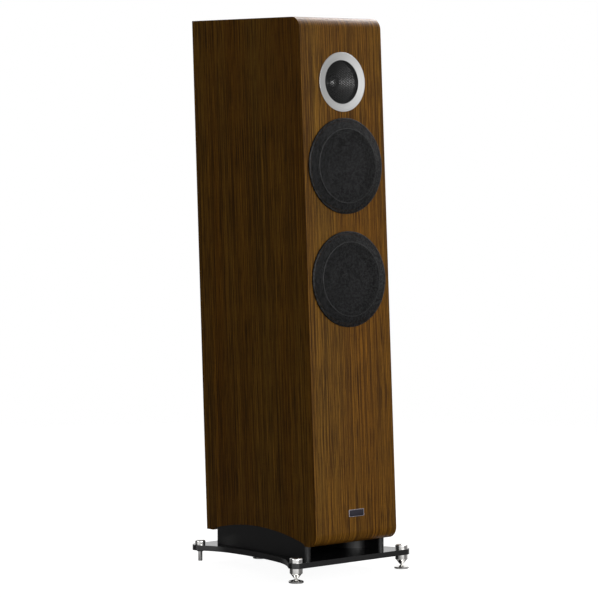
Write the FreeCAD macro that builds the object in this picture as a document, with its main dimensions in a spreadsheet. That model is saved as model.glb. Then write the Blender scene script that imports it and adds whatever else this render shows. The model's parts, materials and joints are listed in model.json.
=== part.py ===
import FreeCAD, Part
import math
import os
from types import SimpleNamespace

import Sketcher

# A floorstanding three-way loudspeaker on a plinth with spiked feet.
# Millimetres and degrees. +Z is up, the front faces -Y, "left" is the -X side, and the
# origin lies on the floor at the middle of the footprint.

DRIVING_SIZES = {
    # The cabinet: seen from the side, a parallelogram that leans back.
    "cabinet_width": 232,
    "cabinet_top": 1215,
    "cabinet_bottom": 73,
    "cabinet_front": -217.1,
    "cabinet_depth": 382,
    "front_lean": 2.94,
    "rear_lean": 2.545,
    "front_round": 26,
    "side_thickness": 18,
    "baffle_thickness": 30,
    "panel_thickness": 20,
    "panel_overshoot": 6,
    "brace_thickness": 18,
    "low_brace_height": 280,
    "middle_brace_height": 500,
    "high_brace_height": 771,
    "divider_height": 985,
    "brace_rim": 28,
    # The arch under each side panel.
    "arch_middle": -18,
    "arch_peak": 99,
    "arch_radius": 600,
    "arch_half_span": 155,
    "arch_run_out": 6,
    # The port: a duct down to a slot that opens forwards and backwards above the base plate.
    "duct_width": 120,
    "duct_depth": 100,
    "duct_wall": 5,
    "duct_top": 230,
    "port_wall_inset": 2,
    "port_wall_thickness": 16,
    "port_nose_front": -173,
    "port_nose_rear": 127,
    "port_flare_radius": 45,
    "port_throat": 106,
    "port_flare_setback": 42,
    # The base plate and its feet.
    "plate_bottom": 32,
    "plate_top": 44,
    "ear_radius": 17.5,
    "foot_spread": 152.4,
    "front_foot_place": -192.3,
    "rear_ear_place": 143,
    "rear_spike_place": 118,
    "waist_width": 255,
    "waist_radius": 547,
    "ear_sweep_radius": 158,
    "stud_radius": 5,
    "stud_top": 52,
    "running_gap": 0.05,
    "seat_gap": 0.2,
    "loose_gap": 0.5,
    "collar_radius": 14,
    "collar_bottom": 20,
    "tip_height": 5,
    "tip_radius": 1.2,
    "cup_bore_radius": 2.64,
    "cup_crown_radius": 3.6,
    "cup_radius": 16.3,
    "cup_rim_height": 4,
    "cup_crown_height": 7.6,
    "knob_radius": 14.2,
    "knob_height": 11,
    "knob_round": 4,
    "stabiliser_radius": 4.8,
    "stabiliser_clearance": 7,
    "stabiliser_cap_radius": 12,
    "stabiliser_nut_radius": 7.3,
    "stabiliser_nut_height": 3.4,
    "base_bolt_radius": 3,
    "base_bolt_head": 5.5,
    "base_bolt_length": 32,
    "base_bolt_spacing": 120,
    # The two woofers.
    "upper_woofer_height": 893.9,
    "lower_woofer_height": 648.4,
    "woofer_flange_radius": 95,
    "woofer_flange_thickness": 5,
    "woofer_window_radius": 80,
    "woofer_opening_radius": 82.5,
    "woofer_cone_radius": 66,
    "woofer_cone_setback": 8,
    "woofer_cap_radius": 25,
    "woofer_cap_setback": 27,
    "woofer_cap_rise": 5.5,
    "woofer_basket_depth": 66,
    "woofer_basket_foot": 62,
    "woofer_spider_setback": 46,
    "woofer_spider_radius": 57,
    "woofer_coil_radius": 19,
    "woofer_motor_radius": 60,
    "woofer_motor_depth": 97,
    "woofer_screw_circle": 88.5,
    "skin": 1.4,
    "spider_wave": 2.1,
    "basket_wall": 4.2,
    "motor_plate": 5.6,
    # The woofer grilles.
    "grille_radius": 104.2,
    "grille_rim": 4,
    "grille_face_radius": 80.5,
    "grille_height": 11,
    "grille_sheet": 1,
    "grille_lip": 6,
    # The coaxial midrange and tweeter.
    "coax_height": 1075.8,
    "ring_radius": 64.7,
    "ring_opening": 47.5,
    "ring_proud": 1,
    "ring_dish": 2.2,
    "coax_recess": 12,
    "coax_flange_thickness": 6,
    "coax_opening_radius": 53.3,
    "coax_basket_radius": 53,
    "coax_screw_circle": 58.2,
    "coax_motor_radius": 45,
    "coax_depth": 75,
    "mid_cone_radius": 44,
    "mid_cone_setback": 10.5,
    "mid_throat_radius": 15.6,
    "mid_throat_setback": 27,
    "tweeter_radius": 12,
    "tweeter_rise": 4.5,
    # The name plate, left plain.
    "badge_width": 43,
    "badge_height": 16,
    "badge_thickness": 1.5,
    "badge_centre_height": 140,
    "badge_frame": 1.3,
    # The terminals on the back.
    "terminal_height": 200,
    "terminal_width": 150,
    "terminal_tall": 104,
    "terminal_thickness": 4,
    "terminal_screw_margin": 7.04,
    "terminal_post_across": 56,
    "terminal_post_up": 40,
    "post_radius": 4,
    "post_length": 34,
    "post_tail": 18,
    "socket_radius": 2,
    "socket_depth": 20,
    "post_flange_radius": 8,
    "post_flange_thickness": 4,
    "jumper_thickness": 1,
    "jumper_end_radius": 7.2,
    "washer_thickness": 1,
    "cap_radius": 8.5,
    "cap_length": 18,
    "cap_neck_radius": 6.97,
    "cap_grip_start": 5.04,
    # Shared hardware.
    "screw_radius": 2.45,
    "screw_hole_radius": 2.5,
    "screw_length": 22,
    "screw_head_radius": 4.4,
    "screw_head_height": 2.6,
    # The crossover, felt and wiring inside.
    "board_across": 150,
    "board_tall": 150,
    "board_middle_height": 400,
    "board_middle_place": 20,
    "board_thickness": 2,
    "board_standoff": 8,
    "coil_radius": 20,
    "coil_bore": 9,
    "coil_length": 22,
    "coil_spacing": 46,
    "capacitor_radius": 9,
    "capacitor_length": 42,
    "capacitor_start": 13.5,
    "capacitor_spacing": 19.8,
    "felt_thickness": 8,
    "felt_length": 190,
    "cable_radius": 4,
    "cable_side_place": -40,
    "cable_run_place": 62,
    "cable_bend": 20,
}

Z_AXIS = FreeCAD.Vector(0, 0, 1)
X_AXIS = FreeCAD.Vector(1, 0, 0)
doc = FreeCAD.newDocument("FloorstandingSpeaker")


# ---------------------------------------------------------------- sizes and formulas

class Size:
    """A number together with its formula in the sheet, so that sums of sizes stay bound to it."""

    def __init__(self, formula, value):
        self.formula = formula
        self.value = value

    def __add__(self, other):
        other = as_size(other)
        return Size(f"({self.formula} + {other.formula})", self.value + other.value)

    def __sub__(self, other):
        other = as_size(other)
        return Size(f"({self.formula} - {other.formula})", self.value - other.value)

    def __mul__(self, other):
        other = as_size(other)
        return Size(f"({self.formula} * {other.formula})", self.value * other.value)

    def __truediv__(self, other):
        other = as_size(other)
        return Size(f"({self.formula} / {other.formula})", self.value / other.value)

    def __neg__(self):
        return self * -1

    __radd__ = __add__
    __rmul__ = __mul__

    def __rsub__(self, other):
        return as_size(other) - self

    def __rtruediv__(self, other):
        return as_size(other) / self


def as_size(number):
    if isinstance(number, Size):
        return number
    return Size(f"({number})", number)


def cosine(angle):
    return Size(f"cos({angle.formula})", math.cos(math.radians(angle.value)))


def tangent(angle):
    return Size(f"tan({angle.formula})", math.tan(math.radians(angle.value)))


def square_root(size):
    return Size(f"sqrt({size.formula})", math.sqrt(size.value))


def bind(thing, name, size):
    """Ties a property or constraint to its formula."""
    thing.setExpression(name, as_size(size).formula)


def fill_sheet():
    sheet = doc.addObject("Spreadsheet::Sheet", "Sizes")
    for row, (alias, number) in enumerate(DRIVING_SIZES.items(), start=1):
        sheet.set(f"A{row}", str(number))
        sheet.setAlias(f"A{row}", alias)
    doc.recompute()
    return SimpleNamespace(**{
        alias: Size(f"Sizes.{alias}", number) for alias, number in DRIVING_SIZES.items()})


S = fill_sheet()
HALF_WIDTH = S.cabinet_width / 2
INNER_WIDTH = HALF_WIDTH - S.side_thickness
ARCH_CENTRE = S.arch_peak - S.arch_radius
ARCH_FOOT = ARCH_CENTRE + square_root(
    S.arch_radius * S.arch_radius - S.arch_half_span * S.arch_half_span)
TERMINAL_FACE = S.terminal_thickness + S.post_flange_thickness


def front_y(height, behind=0):
    """The y of the leaning front face at a height, or of the plane a distance behind it."""
    lean = (height - S.cabinet_bottom) * tangent(S.front_lean)
    return S.cabinet_front + lean + behind / cosine(S.front_lean)


def rear_y(height, inside=0):
    """The y of the leaning rear face at a height, or of the plane a distance inside it."""
    lean = (height - S.cabinet_bottom) * tangent(S.rear_lean)
    return S.cabinet_front + S.cabinet_depth + lean - inside / cosine(S.rear_lean)


def baffle_back_y(height):
    return front_y(height, S.baffle_thickness)


def rear_inner_y(height):
    return rear_y(height, S.panel_thickness)


def slope_on_front(height):
    """The distance up the leaning front face from the cabinet's bottom edge."""
    return (height - S.cabinet_bottom) / cosine(S.front_lean)


# ---------------------------------------------------------------- outlines

class Corner:
    """A point of an outline that a straight line leads to."""

    start_vertex = 1
    end_vertex = 2

    def __init__(self, across, up):
        self.across = as_size(across)
        self.up = as_size(up)

    def point(self):
        return FreeCAD.Vector(self.across.value, self.up.value, 0)

    def curve_from(self, before):
        return Part.LineSegment(before.point(), self.point())


class Bend(Corner):
    """A point of an outline that an arc round the given centre leads to."""

    def __init__(self, across, up, centre_across, centre_up, clockwise=False):
        super().__init__(across, up)
        self.centre_across = as_size(centre_across)
        self.centre_up = as_size(centre_up)
        if clockwise:
            self.start_vertex = 2
            self.end_vertex = 1

    def curve_from(self, before):
        centre = FreeCAD.Vector(self.centre_across.value, self.centre_up.value, 0)
        first, last = before.point() - centre, self.point() - centre
        if self.end_vertex == 1:
            first, last = last, first
        circle = Part.Circle(centre, Z_AXIS, first.Length)
        return Part.ArcOfCircle(circle, math.atan2(first.y, first.x), math.atan2(last.y, last.x))

    def bind_centre(self, sketch, curve, before):
        """Both ends are fixed already, so one coordinate of the centre settles the arc."""
        chord = self.point() - before.point()
        if abs(chord.x) >= abs(chord.y):
            hold(sketch, "DistanceY", curve, 3, self.centre_up)
        else:
            hold(sketch, "DistanceX", curve, 3, self.centre_across)


def hold(sketch, direction, curve, vertex, size):
    """Fixes a vertex's distance from the sketch origin, or puts it on the axis itself."""
    if size.formula in ("(0)", "(0.0)"):
        axis = -2 if direction == "DistanceX" else -1
        sketch.addConstraint(Sketcher.Constraint("PointOnObject", curve, vertex, axis))
        return
    index = sketch.addConstraint(Sketcher.Constraint(direction, -1, 1, curve, vertex, size.value))
    bind(sketch, f"Constraints[{index}]", size)


def draw_outline(sketch, path):
    """Draws a closed chain of lines and arcs with every corner bound to the sheet."""
    first = sketch.GeometryCount
    for index, step in enumerate(path):
        sketch.addGeometry(step.curve_from(path[index - 1]), False)
    for index, step in enumerate(path):
        curve = first + index
        following = (index + 1) % len(path)
        sketch.addConstraint(Sketcher.Constraint(
            "Coincident", curve, step.end_vertex, first + following, path[following].start_vertex))
        hold(sketch, "DistanceX", curve, step.end_vertex, step.across)
        hold(sketch, "DistanceY", curve, step.end_vertex, step.up)
        if isinstance(step, Bend):
            step.bind_centre(sketch, curve, path[index - 1])


def draw_circle(sketch, across, up, radius):
    across, up, radius = as_size(across), as_size(up), as_size(radius)
    centre = FreeCAD.Vector(across.value, up.value, 0)
    curve = sketch.addGeometry(Part.Circle(centre, Z_AXIS, radius.value), False)
    hold(sketch, "DistanceX", curve, 3, across)
    hold(sketch, "DistanceY", curve, 3, up)
    index = sketch.addConstraint(Sketcher.Constraint("Radius", curve, radius.value))
    bind(sketch, f"Constraints[{index}]", radius)


def draw_circles(sketch, centres, radius):
    for across, up in centres:
        draw_circle(sketch, across, up, radius)


def rectangle(left, right, low, high):
    return [Corner(left, low), Corner(right, low), Corner(right, high), Corner(left, high)]


# ---------------------------------------------------------------- features

def new_body(label, several=False):
    body = doc.addObject("PartDesign::Body", label)
    body.Label = label
    body.AllowCompound = several
    return body


def origin_feature(body, role):
    return next(item for item in body.Origin.OriginFeatures if item.Role == role)


def new_sketch(body, plane, offset=0):
    """A sketch on one of the body's own origin planes, moved along the plane's normal."""
    sketch = body.newObject("Sketcher::SketchObject", "Sketch")
    sketch.AttachmentSupport = [(origin_feature(body, plane), "")]
    sketch.MapMode = "FlatFace"
    bind(sketch, "AttachmentOffset.Base.z", offset)
    return sketch


def pad(body, sketch, length, both_ways=False, backwards=False):
    feature = body.newObject("PartDesign::Pad", "Pad")
    feature.Profile = sketch
    feature.Midplane = both_ways
    feature.Reversed = backwards
    bind(feature, "Length", length)
    return feature


def pocket(body, sketch, depth, both_ways=False, backwards=False):
    """Cuts against the sketch's normal, and must take something away."""
    doc.recompute()
    before = body.Shape.Volume
    feature = body.newObject("PartDesign::Pocket", "Pocket")
    feature.Profile = sketch
    feature.Midplane = both_ways
    feature.Reversed = backwards
    bind(feature, "Length", depth)
    doc.recompute()
    if body.Shape.Volume >= before:
        raise ValueError(f"a pocket of {body.Label} cuts nothing")
    return feature


def turn(body, path):
    """Turns an outline of radius against height about the body's own z axis."""
    sketch = new_sketch(body, "XZ_Plane")
    draw_outline(sketch, path)
    feature = body.newObject("PartDesign::Revolution", "Revolution")
    feature.Profile = sketch
    feature.ReferenceAxis = (sketch, ["V_Axis"])
    feature.Angle = 360
    return feature


def turned_piece(label, path):
    body = new_body(label)
    turn(body, path)
    return body


def repeat_round(body, feature, count):
    pattern = body.newObject("PartDesign::PolarPattern", "PolarPattern")
    pattern.Originals = [feature]
    pattern.Axis = (origin_feature(body, "Z_Axis"), [""])
    pattern.Angle = 360
    pattern.Occurrences = count
    body.Tip = pattern


def holes(body, centres, radius, depth, plane_offset=0, upwards=False):
    sketch = new_sketch(body, "XY_Plane", plane_offset)
    draw_circles(sketch, centres, radius)
    return pocket(body, sketch, depth, backwards=upwards)


def screw_holes_round(body, circle, depth, top=0):
    """A ring of screw holes about the z axis, cut downwards from the plane z = top."""
    hole = holes(body, [(circle, 0)], S.screw_hole_radius, depth, top)
    repeat_round(body, hole, SCREWS_PER_DRIVER)


def place(body, across=0, along=0, up=0, tilt=None):
    """Puts a body at a point and, when asked, tilts it about the x axis."""
    if tilt is not None:
        body.Placement.Rotation = FreeCAD.Rotation(X_AXIS, tilt.value)
        bind(body, "Placement.Rotation.Angle", tilt)
    bind(body, "Placement.Base.x", across)
    bind(body, "Placement.Base.y", along)
    bind(body, "Placement.Base.z", up)


FRONT_TILT = 90 - S.front_lean
# The rear frame faces out of the back, so its own y axis points down the panel. A negative
# turn is written as a positive one the other way round the circle.
REAR_TILT = 270 - S.rear_lean
SCREWS_PER_DRIVER = 8


def place_on_front(body, height):
    """The body's own z axis stands out of the front face at this height."""
    place(body, 0, front_y(height), height, FRONT_TILT)


def place_on_rear(body, height):
    place(body, 0, rear_y(height), height, REAR_TILT)


# ---------------------------------------------------------------- cabinet

def arch_outline(closing_corners):
    """The run along the underside of a side panel from front to back, then the given corners."""
    foot_front = S.arch_middle - S.arch_half_span
    foot_rear = S.arch_middle + S.arch_half_span
    return [
        Corner(foot_front - S.arch_run_out, S.cabinet_bottom),
        Corner(foot_front, ARCH_FOOT),
        Bend(foot_rear, ARCH_FOOT, S.arch_middle, ARCH_CENTRE, clockwise=True),
        Corner(foot_rear + S.arch_run_out, S.cabinet_bottom),
    ] + closing_corners


def build_side_panel(label, side):
    body = new_body(label)
    sketch = new_sketch(body, "YZ_Plane", INNER_WIDTH * side)
    draw_outline(sketch, arch_outline([
        Corner(rear_y(S.cabinet_bottom), S.cabinet_bottom),
        Corner(rear_y(S.cabinet_top), S.cabinet_top),
        Corner(baffle_back_y(S.cabinet_top), S.cabinet_top),
        Corner(baffle_back_y(S.cabinet_bottom), S.cabinet_bottom),
    ]))
    pad(body, sketch, S.side_thickness, backwards=side < 0)


def edges_across(shape, points):
    """The names of the edges along x whose y and z match one of the points."""
    names = []
    for index, edge in enumerate(shape.Edges, start=1):
        middle = edge.CenterOfMass
        for y, z in points:
            along_x = abs(edge.BoundBox.XLength - shape.BoundBox.XLength) < 0.01
            if along_x and math.hypot(middle.y - y.value, middle.z - z.value) < 0.01:
                names.append(f"Edge{index}")
    return names


def build_front_baffle():
    """Full width, with round edges at top and bottom, in the frame of the leaning front face."""
    body = new_body("front_baffle")
    top = slope_on_front(S.cabinet_top)
    slant = S.baffle_thickness * tangent(S.front_lean)
    profile = new_sketch(body, "YZ_Plane")
    draw_outline(profile, [
        Corner(0, 0),
        Corner(slant, -S.baffle_thickness),
        Corner(top + slant, -S.baffle_thickness),
        Corner(top, 0),
    ])
    block = pad(body, profile, S.cabinet_width, both_ways=True)
    doc.recompute()
    rounding = body.newObject("PartDesign::Fillet", "Fillet")
    zero = as_size(0)
    rounding.Base = (block, edges_across(body.Shape, [(zero, zero), (top, zero)]))
    bind(rounding, "Radius", S.front_round)
    doc.recompute()
    woofers = [(0, slope_on_front(height)) for height in (S.upper_woofer_height, S.lower_woofer_height)]
    coax = [(0, slope_on_front(S.coax_height))]
    recess = S.seat_gap
    holes(body, woofers, S.woofer_flange_radius + recess, S.woofer_flange_thickness)
    holes(body, woofers, S.woofer_opening_radius, S.baffle_thickness)
    holes(body, coax, S.ring_radius + recess, S.coax_recess)
    holes(body, coax, S.coax_opening_radius, S.baffle_thickness)
    for across, up in woofers:
        holes(body, ring_of_points(up, S.woofer_screw_circle), S.screw_hole_radius, S.screw_length)
    through = S.baffle_thickness + S.panel_overshoot
    for across, up in coax:
        holes(body, ring_of_points(up, S.coax_screw_circle), S.screw_hole_radius, through)
    place_on_front(body, S.cabinet_bottom)


def ring_of_points(up, circle):
    """The screw centres of one driver, with the first one on the +x side."""
    points = []
    for index in range(SCREWS_PER_DRIVER):
        angle = as_size(360 * index / SCREWS_PER_DRIVER)
        points.append((circle * cosine(angle), up + circle * cosine(90 - angle)))
    return points


def terminal_screw_points():
    """Six screws round the edge of the terminal plate."""
    margin = S.terminal_screw_margin
    half_width = S.terminal_width / 2 - margin
    half_tall = S.terminal_tall / 2 - margin
    return [(half_width * side, half_tall * end) for side in (-1, 0, 1) for end in (-1, 1)]


def build_rear_panel():
    """Between the sides, in the frame of the leaning rear face, with a cut-out for the terminals."""
    body = new_body("rear_panel")
    top = (S.cabinet_top - S.cabinet_bottom) / cosine(S.rear_lean)
    slant = S.panel_thickness * tangent(S.rear_lean)
    profile = new_sketch(body, "YZ_Plane")
    draw_outline(profile, [
        Corner(0, 0),
        Corner(-top, 0),
        Corner(slant - top, -S.panel_thickness),
        Corner(slant, -S.panel_thickness),
    ])
    pad(body, profile, INNER_WIDTH * 2, both_ways=True)
    down = (S.terminal_height - S.cabinet_bottom) / cosine(S.rear_lean)
    half_width = S.terminal_post_across
    half_tall = S.terminal_post_up / 2 + S.post_flange_radius
    opening = new_sketch(body, "XY_Plane")
    draw_outline(opening, rectangle(-half_width, half_width, -down - half_tall, half_tall - down))
    pocket(body, opening, S.panel_thickness)
    centres = [(across, up - down) for across, up in terminal_screw_points()]
    holes(body, centres, S.screw_hole_radius, S.screw_length - S.terminal_thickness)
    place(body, 0, rear_y(S.cabinet_bottom), S.cabinet_bottom, REAR_TILT)


def shelf_outline(low, thickness):
    """A horizontal board between the baffle and the rear panel, seen from the side."""
    high = low + thickness
    return [
        Corner(baffle_back_y(low), low),
        Corner(rear_inner_y(low), low),
        Corner(rear_inner_y(high), high),
        Corner(baffle_back_y(high), high),
    ]


def build_shelf(label, low, thickness):
    body = new_body(label)
    sketch = new_sketch(body, "YZ_Plane")
    draw_outline(sketch, shelf_outline(low, thickness))
    pad(body, sketch, INNER_WIDTH * 2, both_ways=True)
    return body


def build_bottom_panel():
    body = build_shelf("bottom_panel", S.cabinet_bottom, S.panel_thickness)
    slot = new_sketch(body, "XY_Plane", S.cabinet_bottom)
    half_width, half_depth = S.duct_width / 2, S.duct_depth / 2
    draw_outline(slot, rectangle(-half_width, half_width, -half_depth, half_depth))
    pocket(body, slot, S.panel_thickness, backwards=True)


def build_window_braces():
    """Three boards with a window each, which tie the sides together and leave the air one room."""
    body = new_body("window_braces", several=True)
    sketch = new_sketch(body, "YZ_Plane")
    for low in (S.low_brace_height, S.middle_brace_height, S.high_brace_height):
        draw_outline(sketch, shelf_outline(low, S.brace_thickness))
    pad(body, sketch, INNER_WIDTH * 2, both_ways=True)
    window = new_sketch(body, "XY_Plane", S.low_brace_height)
    half_width = INNER_WIDTH - S.brace_rim
    front = baffle_back_y(S.high_brace_height) + S.brace_rim
    rear = rear_inner_y(S.low_brace_height) - S.brace_rim
    draw_outline(window, rectangle(-half_width, half_width, front, rear))
    pocket(body, window, S.divider_height - S.low_brace_height, backwards=True)


def build_damping_felt():
    """Flat pads on the inner faces of both sides, beside each woofer."""
    body = new_body("damping_felt", several=True)
    sketch = new_sketch(body, "YZ_Plane", INNER_WIDTH)
    clear = S.felt_thickness * 2
    front = front_y(S.divider_height) + S.woofer_motor_depth / 2
    rear = front + S.felt_length
    rooms = (
        (S.middle_brace_height, S.high_brace_height),
        (S.high_brace_height, S.divider_height),
    )
    for floor, ceiling in rooms:
        low = floor + S.brace_thickness + clear
        draw_outline(sketch, rectangle(front, rear, low, ceiling - clear))
    pads = pad(body, sketch, S.felt_thickness, backwards=True)
    other_side = body.newObject("PartDesign::Mirrored", "Mirrored")
    other_side.Originals = [pads]
    other_side.MirrorPlane = (origin_feature(body, "YZ_Plane"), [""])
    body.Tip = other_side


# ---------------------------------------------------------------- port and base

def build_port_duct():
    body = new_body("port_duct")
    sketch = new_sketch(body, "XY_Plane", S.cabinet_bottom)
    half_width, half_depth = S.duct_width / 2, S.duct_depth / 2
    draw_outline(sketch, rectangle(-half_width, half_width, -half_depth, half_depth))
    inner_width, inner_depth = half_width - S.duct_wall, half_depth - S.duct_wall
    draw_outline(sketch, rectangle(-inner_width, inner_width, -inner_depth, inner_depth))
    pad(body, sketch, S.duct_top - S.cabinet_bottom)


def base_bolt_places():
    """Three bolts up into each port wall."""
    across = HALF_WIDTH - S.port_wall_inset - S.port_wall_thickness / 2
    middle = (S.port_nose_front + S.port_nose_rear) / 2
    return [
        (across * side, middle + S.base_bolt_spacing * step)
        for side in (-1, 1)
        for step in (-1, 0, 1)
    ]


def build_port_wall(label, side):
    """A strip with half-round ends up to the side panel's arch, and the flared block inside it."""
    body = new_body(label)
    clockwise = side < 0
    outer = HALF_WIDTH - S.port_wall_inset
    inner = outer - S.port_wall_thickness
    middle = outer - S.port_wall_thickness / 2
    front, rear = S.port_nose_front, S.port_nose_rear
    strip = new_sketch(body, "XY_Plane", S.plate_top)
    draw_outline(strip, [
        Corner(inner * side, front),
        Bend(outer * side, front, middle * side, front, clockwise),
        Corner(outer * side, rear),
        Bend(inner * side, rear, middle * side, rear, clockwise),
    ])
    pad(body, strip, S.arch_peak + 1 - S.plate_top)
    above_arch = new_sketch(body, "YZ_Plane")
    ceiling = S.arch_peak + S.panel_thickness
    reach = S.arch_middle + S.cabinet_depth
    draw_outline(above_arch, arch_outline([
        Corner(reach, S.cabinet_bottom),
        Corner(reach, ceiling),
        Corner(-reach, ceiling),
        Corner(-reach, S.cabinet_bottom),
    ]))
    pocket(body, above_arch, S.cabinet_width, both_ways=True)
    throat = S.port_throat / 2
    shoulder = throat + S.port_flare_radius
    seat = inner + S.port_wall_inset
    block_front = front + S.port_flare_setback
    block_rear = rear - S.port_flare_setback
    block = new_sketch(body, "XY_Plane", S.plate_top)
    draw_outline(block, [
        Corner(seat * side, block_front),
        Corner(seat * side, block_rear),
        Corner(shoulder * side, block_rear),
        Bend(throat * side, block_rear - S.port_flare_radius,
             shoulder * side, block_rear - S.port_flare_radius, clockwise),
        Corner(throat * side, block_front + S.port_flare_radius),
        Bend(shoulder * side, block_front,
             shoulder * side, block_front + S.port_flare_radius, clockwise),
    ])
    pad(body, block, S.cabinet_bottom - S.plate_top)
    centres = [(across, along) for across, along in base_bolt_places() if across.value * side > 0]
    depth = S.base_bolt_length - S.plate_top + S.plate_bottom
    holes(body, centres, S.base_bolt_radius, depth, S.plate_top, upwards=True)


def sweep_centre(ear, waist_centre):
    """Where the arc that joins an ear to the waist has its centre, for one corner of the plate."""
    to_waist = waist_centre - ear
    gap = (S.ear_sweep_radius + S.ear_radius).value
    reach = (S.waist_radius - S.ear_sweep_radius).value
    span = to_waist.Length
    lift = math.acos((gap ** 2 + span ** 2 - reach ** 2) / (2 * gap * span))
    towards = math.atan2(to_waist.y, to_waist.x)
    turn_way = 1 if to_waist.x * to_waist.y > 0 else -1
    angle = towards + lift * turn_way
    return ear + FreeCAD.Vector(math.cos(angle), math.sin(angle), 0) * gap


def arc_between(centre, radius, start, end):
    """An anticlockwise arc round a centre, from the side of one point to that of another."""
    first, last = start - centre, end - centre
    circle = Part.Circle(centre, Z_AXIS, radius.value)
    return Part.ArcOfCircle(circle, math.atan2(first.y, first.x), math.atan2(last.y, last.x))


def fix_circle(sketch, curve, radius, across=None, up=None):
    index = sketch.addConstraint(Sketcher.Constraint("Radius", curve, radius.value))
    bind(sketch, f"Constraints[{index}]", radius)
    if across is not None:
        hold(sketch, "DistanceX", curve, 3, across)
        hold(sketch, "DistanceY", curve, 3, up)


def draw_plate_side(sketch, side):
    """One hollow side of the plate: ear, sweep, waist, sweep and ear, all tangent to each other."""
    flat = FreeCAD.Vector
    waist_across = S.waist_width / 2 + S.waist_radius
    waist_up = (S.front_foot_place + S.rear_ear_place) / 2
    waist_centre = flat(waist_across.value * side, waist_up.value, 0)
    ears = [flat(S.foot_spread.value * side, place_y.value, 0)
            for place_y in (S.front_foot_place, S.rear_ear_place)]
    sweeps = [sweep_centre(ear, waist_centre) for ear in ears]
    front_edge, rear_edge = ears[0] - flat(0, 1, 0), ears[1] + flat(0, 1, 0)
    arcs = [
        (ears[0], S.ear_radius, front_edge, sweeps[0]),
        (sweeps[0], S.ear_sweep_radius, sweeps[0] * 2 - waist_centre, ears[0]),
        (waist_centre, S.waist_radius, sweeps[1], sweeps[0]),
        (sweeps[1], S.ear_sweep_radius, ears[1], sweeps[1] * 2 - waist_centre),
        (ears[1], S.ear_radius, sweeps[1], rear_edge),
    ]
    first = sketch.GeometryCount
    for centre, radius, start, end in arcs:
        if side < 0:
            start, end = end, start
        sketch.addGeometry(arc_between(centre, radius, start, end), False)
    fix_circle(sketch, first, S.ear_radius, S.foot_spread * side, S.front_foot_place)
    fix_circle(sketch, first + 1, S.ear_sweep_radius)
    fix_circle(sketch, first + 2, S.waist_radius, waist_across * side, waist_up)
    fix_circle(sketch, first + 3, S.ear_sweep_radius)
    fix_circle(sketch, first + 4, S.ear_radius, S.foot_spread * side, S.rear_ear_place)
    # Ears run the same way round as the outline on the right side, sweeps and waist the other way.
    forward, backward = (1, 2) if side > 0 else (2, 1)
    joints = [
        (first, backward, first + 1, backward),
        (first + 1, forward, first + 2, backward),
        (first + 2, forward, first + 3, backward),
        (first + 3, forward, first + 4, forward),
    ]
    for joint in joints:
        sketch.addConstraint(Sketcher.Constraint("Tangent", *joint))
    return (first, forward), (first + 4, backward)


def draw_plate_edge(sketch, left, right, ahead):
    """The straight front or rear edge between two ears."""
    up = (S.front_foot_place - S.ear_radius) if ahead else (S.rear_ear_place + S.ear_radius)
    ends = [FreeCAD.Vector(S.foot_spread.value * side, up.value, 0) for side in (-1, 1)]
    line = sketch.addGeometry(Part.LineSegment(*ends), False)
    sketch.addConstraint(Sketcher.Constraint("Tangent", line, 1, *left))
    sketch.addConstraint(Sketcher.Constraint("Tangent", line, 2, *right))


def stud_places():
    return [
        ("front_left", -S.foot_spread, S.front_foot_place),
        ("front_right", S.foot_spread, S.front_foot_place),
        ("rear", as_size(0), S.rear_spike_place),
    ]


def stabiliser_places():
    return [("left", -S.foot_spread, S.rear_ear_place), ("right", S.foot_spread, S.rear_ear_place)]


def build_base_plate():
    body = new_body("base_plate")
    sketch = new_sketch(body, "XY_Plane", S.plate_bottom)
    left_front, left_rear = draw_plate_side(sketch, -1)
    right_front, right_rear = draw_plate_side(sketch, 1)
    draw_plate_edge(sketch, left_front, right_front, ahead=True)
    draw_plate_edge(sketch, left_rear, right_rear, ahead=False)
    thickness = S.plate_top - S.plate_bottom
    pad(body, sketch, thickness)
    studs = [(across, along) for name, across, along in stud_places()]
    holes(body, studs, S.stud_radius + S.running_gap, thickness, S.plate_bottom, upwards=True)
    stabilisers = [(across, along) for name, across, along in stabiliser_places()]
    radius = S.stabiliser_radius + S.running_gap
    holes(body, stabilisers, radius, thickness, S.plate_bottom, upwards=True)
    bolts = base_bolt_places()
    holes(body, bolts, S.base_bolt_radius, thickness, S.plate_bottom, upwards=True)
    counterbore = S.base_bolt_head + S.running_gap
    holes(body, bolts, counterbore, S.base_bolt_head, S.plate_bottom, upwards=True)


def hexagon(across, up, radius):
    corners = []
    for index in range(6):
        angle = as_size(60 * index)
        corners.append(Corner(across + radius * cosine(angle), up + radius * cosine(90 - angle)))
    return corners


def build_base_fasteners():
    """Socket-head bolts up into the port walls, and the lock nuts of the two stabilisers."""
    body = new_body("base_fasteners", several=True)
    places = base_bolt_places()
    shanks = new_sketch(body, "XY_Plane", S.plate_bottom)
    draw_circles(shanks, places, S.base_bolt_radius - S.running_gap)
    pad(body, shanks, S.base_bolt_length)
    heads = new_sketch(body, "XY_Plane", S.plate_bottom)
    draw_circles(heads, places, S.base_bolt_head)
    pad(body, heads, S.base_bolt_head)
    sockets = new_sketch(body, "XY_Plane", S.plate_bottom)
    for across, along in places:
        draw_outline(sockets, hexagon(across, along, S.base_bolt_radius - S.running_gap * 2))
    pocket(body, sockets, S.base_bolt_radius, backwards=True)
    nuts = new_sketch(body, "XY_Plane", S.plate_bottom - S.stabiliser_nut_height)
    centres = [(across, along) for name, across, along in stabiliser_places()]
    draw_circles(nuts, centres, S.stabiliser_nut_radius)
    draw_circles(nuts, centres, S.stabiliser_radius + S.running_gap)
    pad(body, nuts, S.stabiliser_nut_height)


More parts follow.
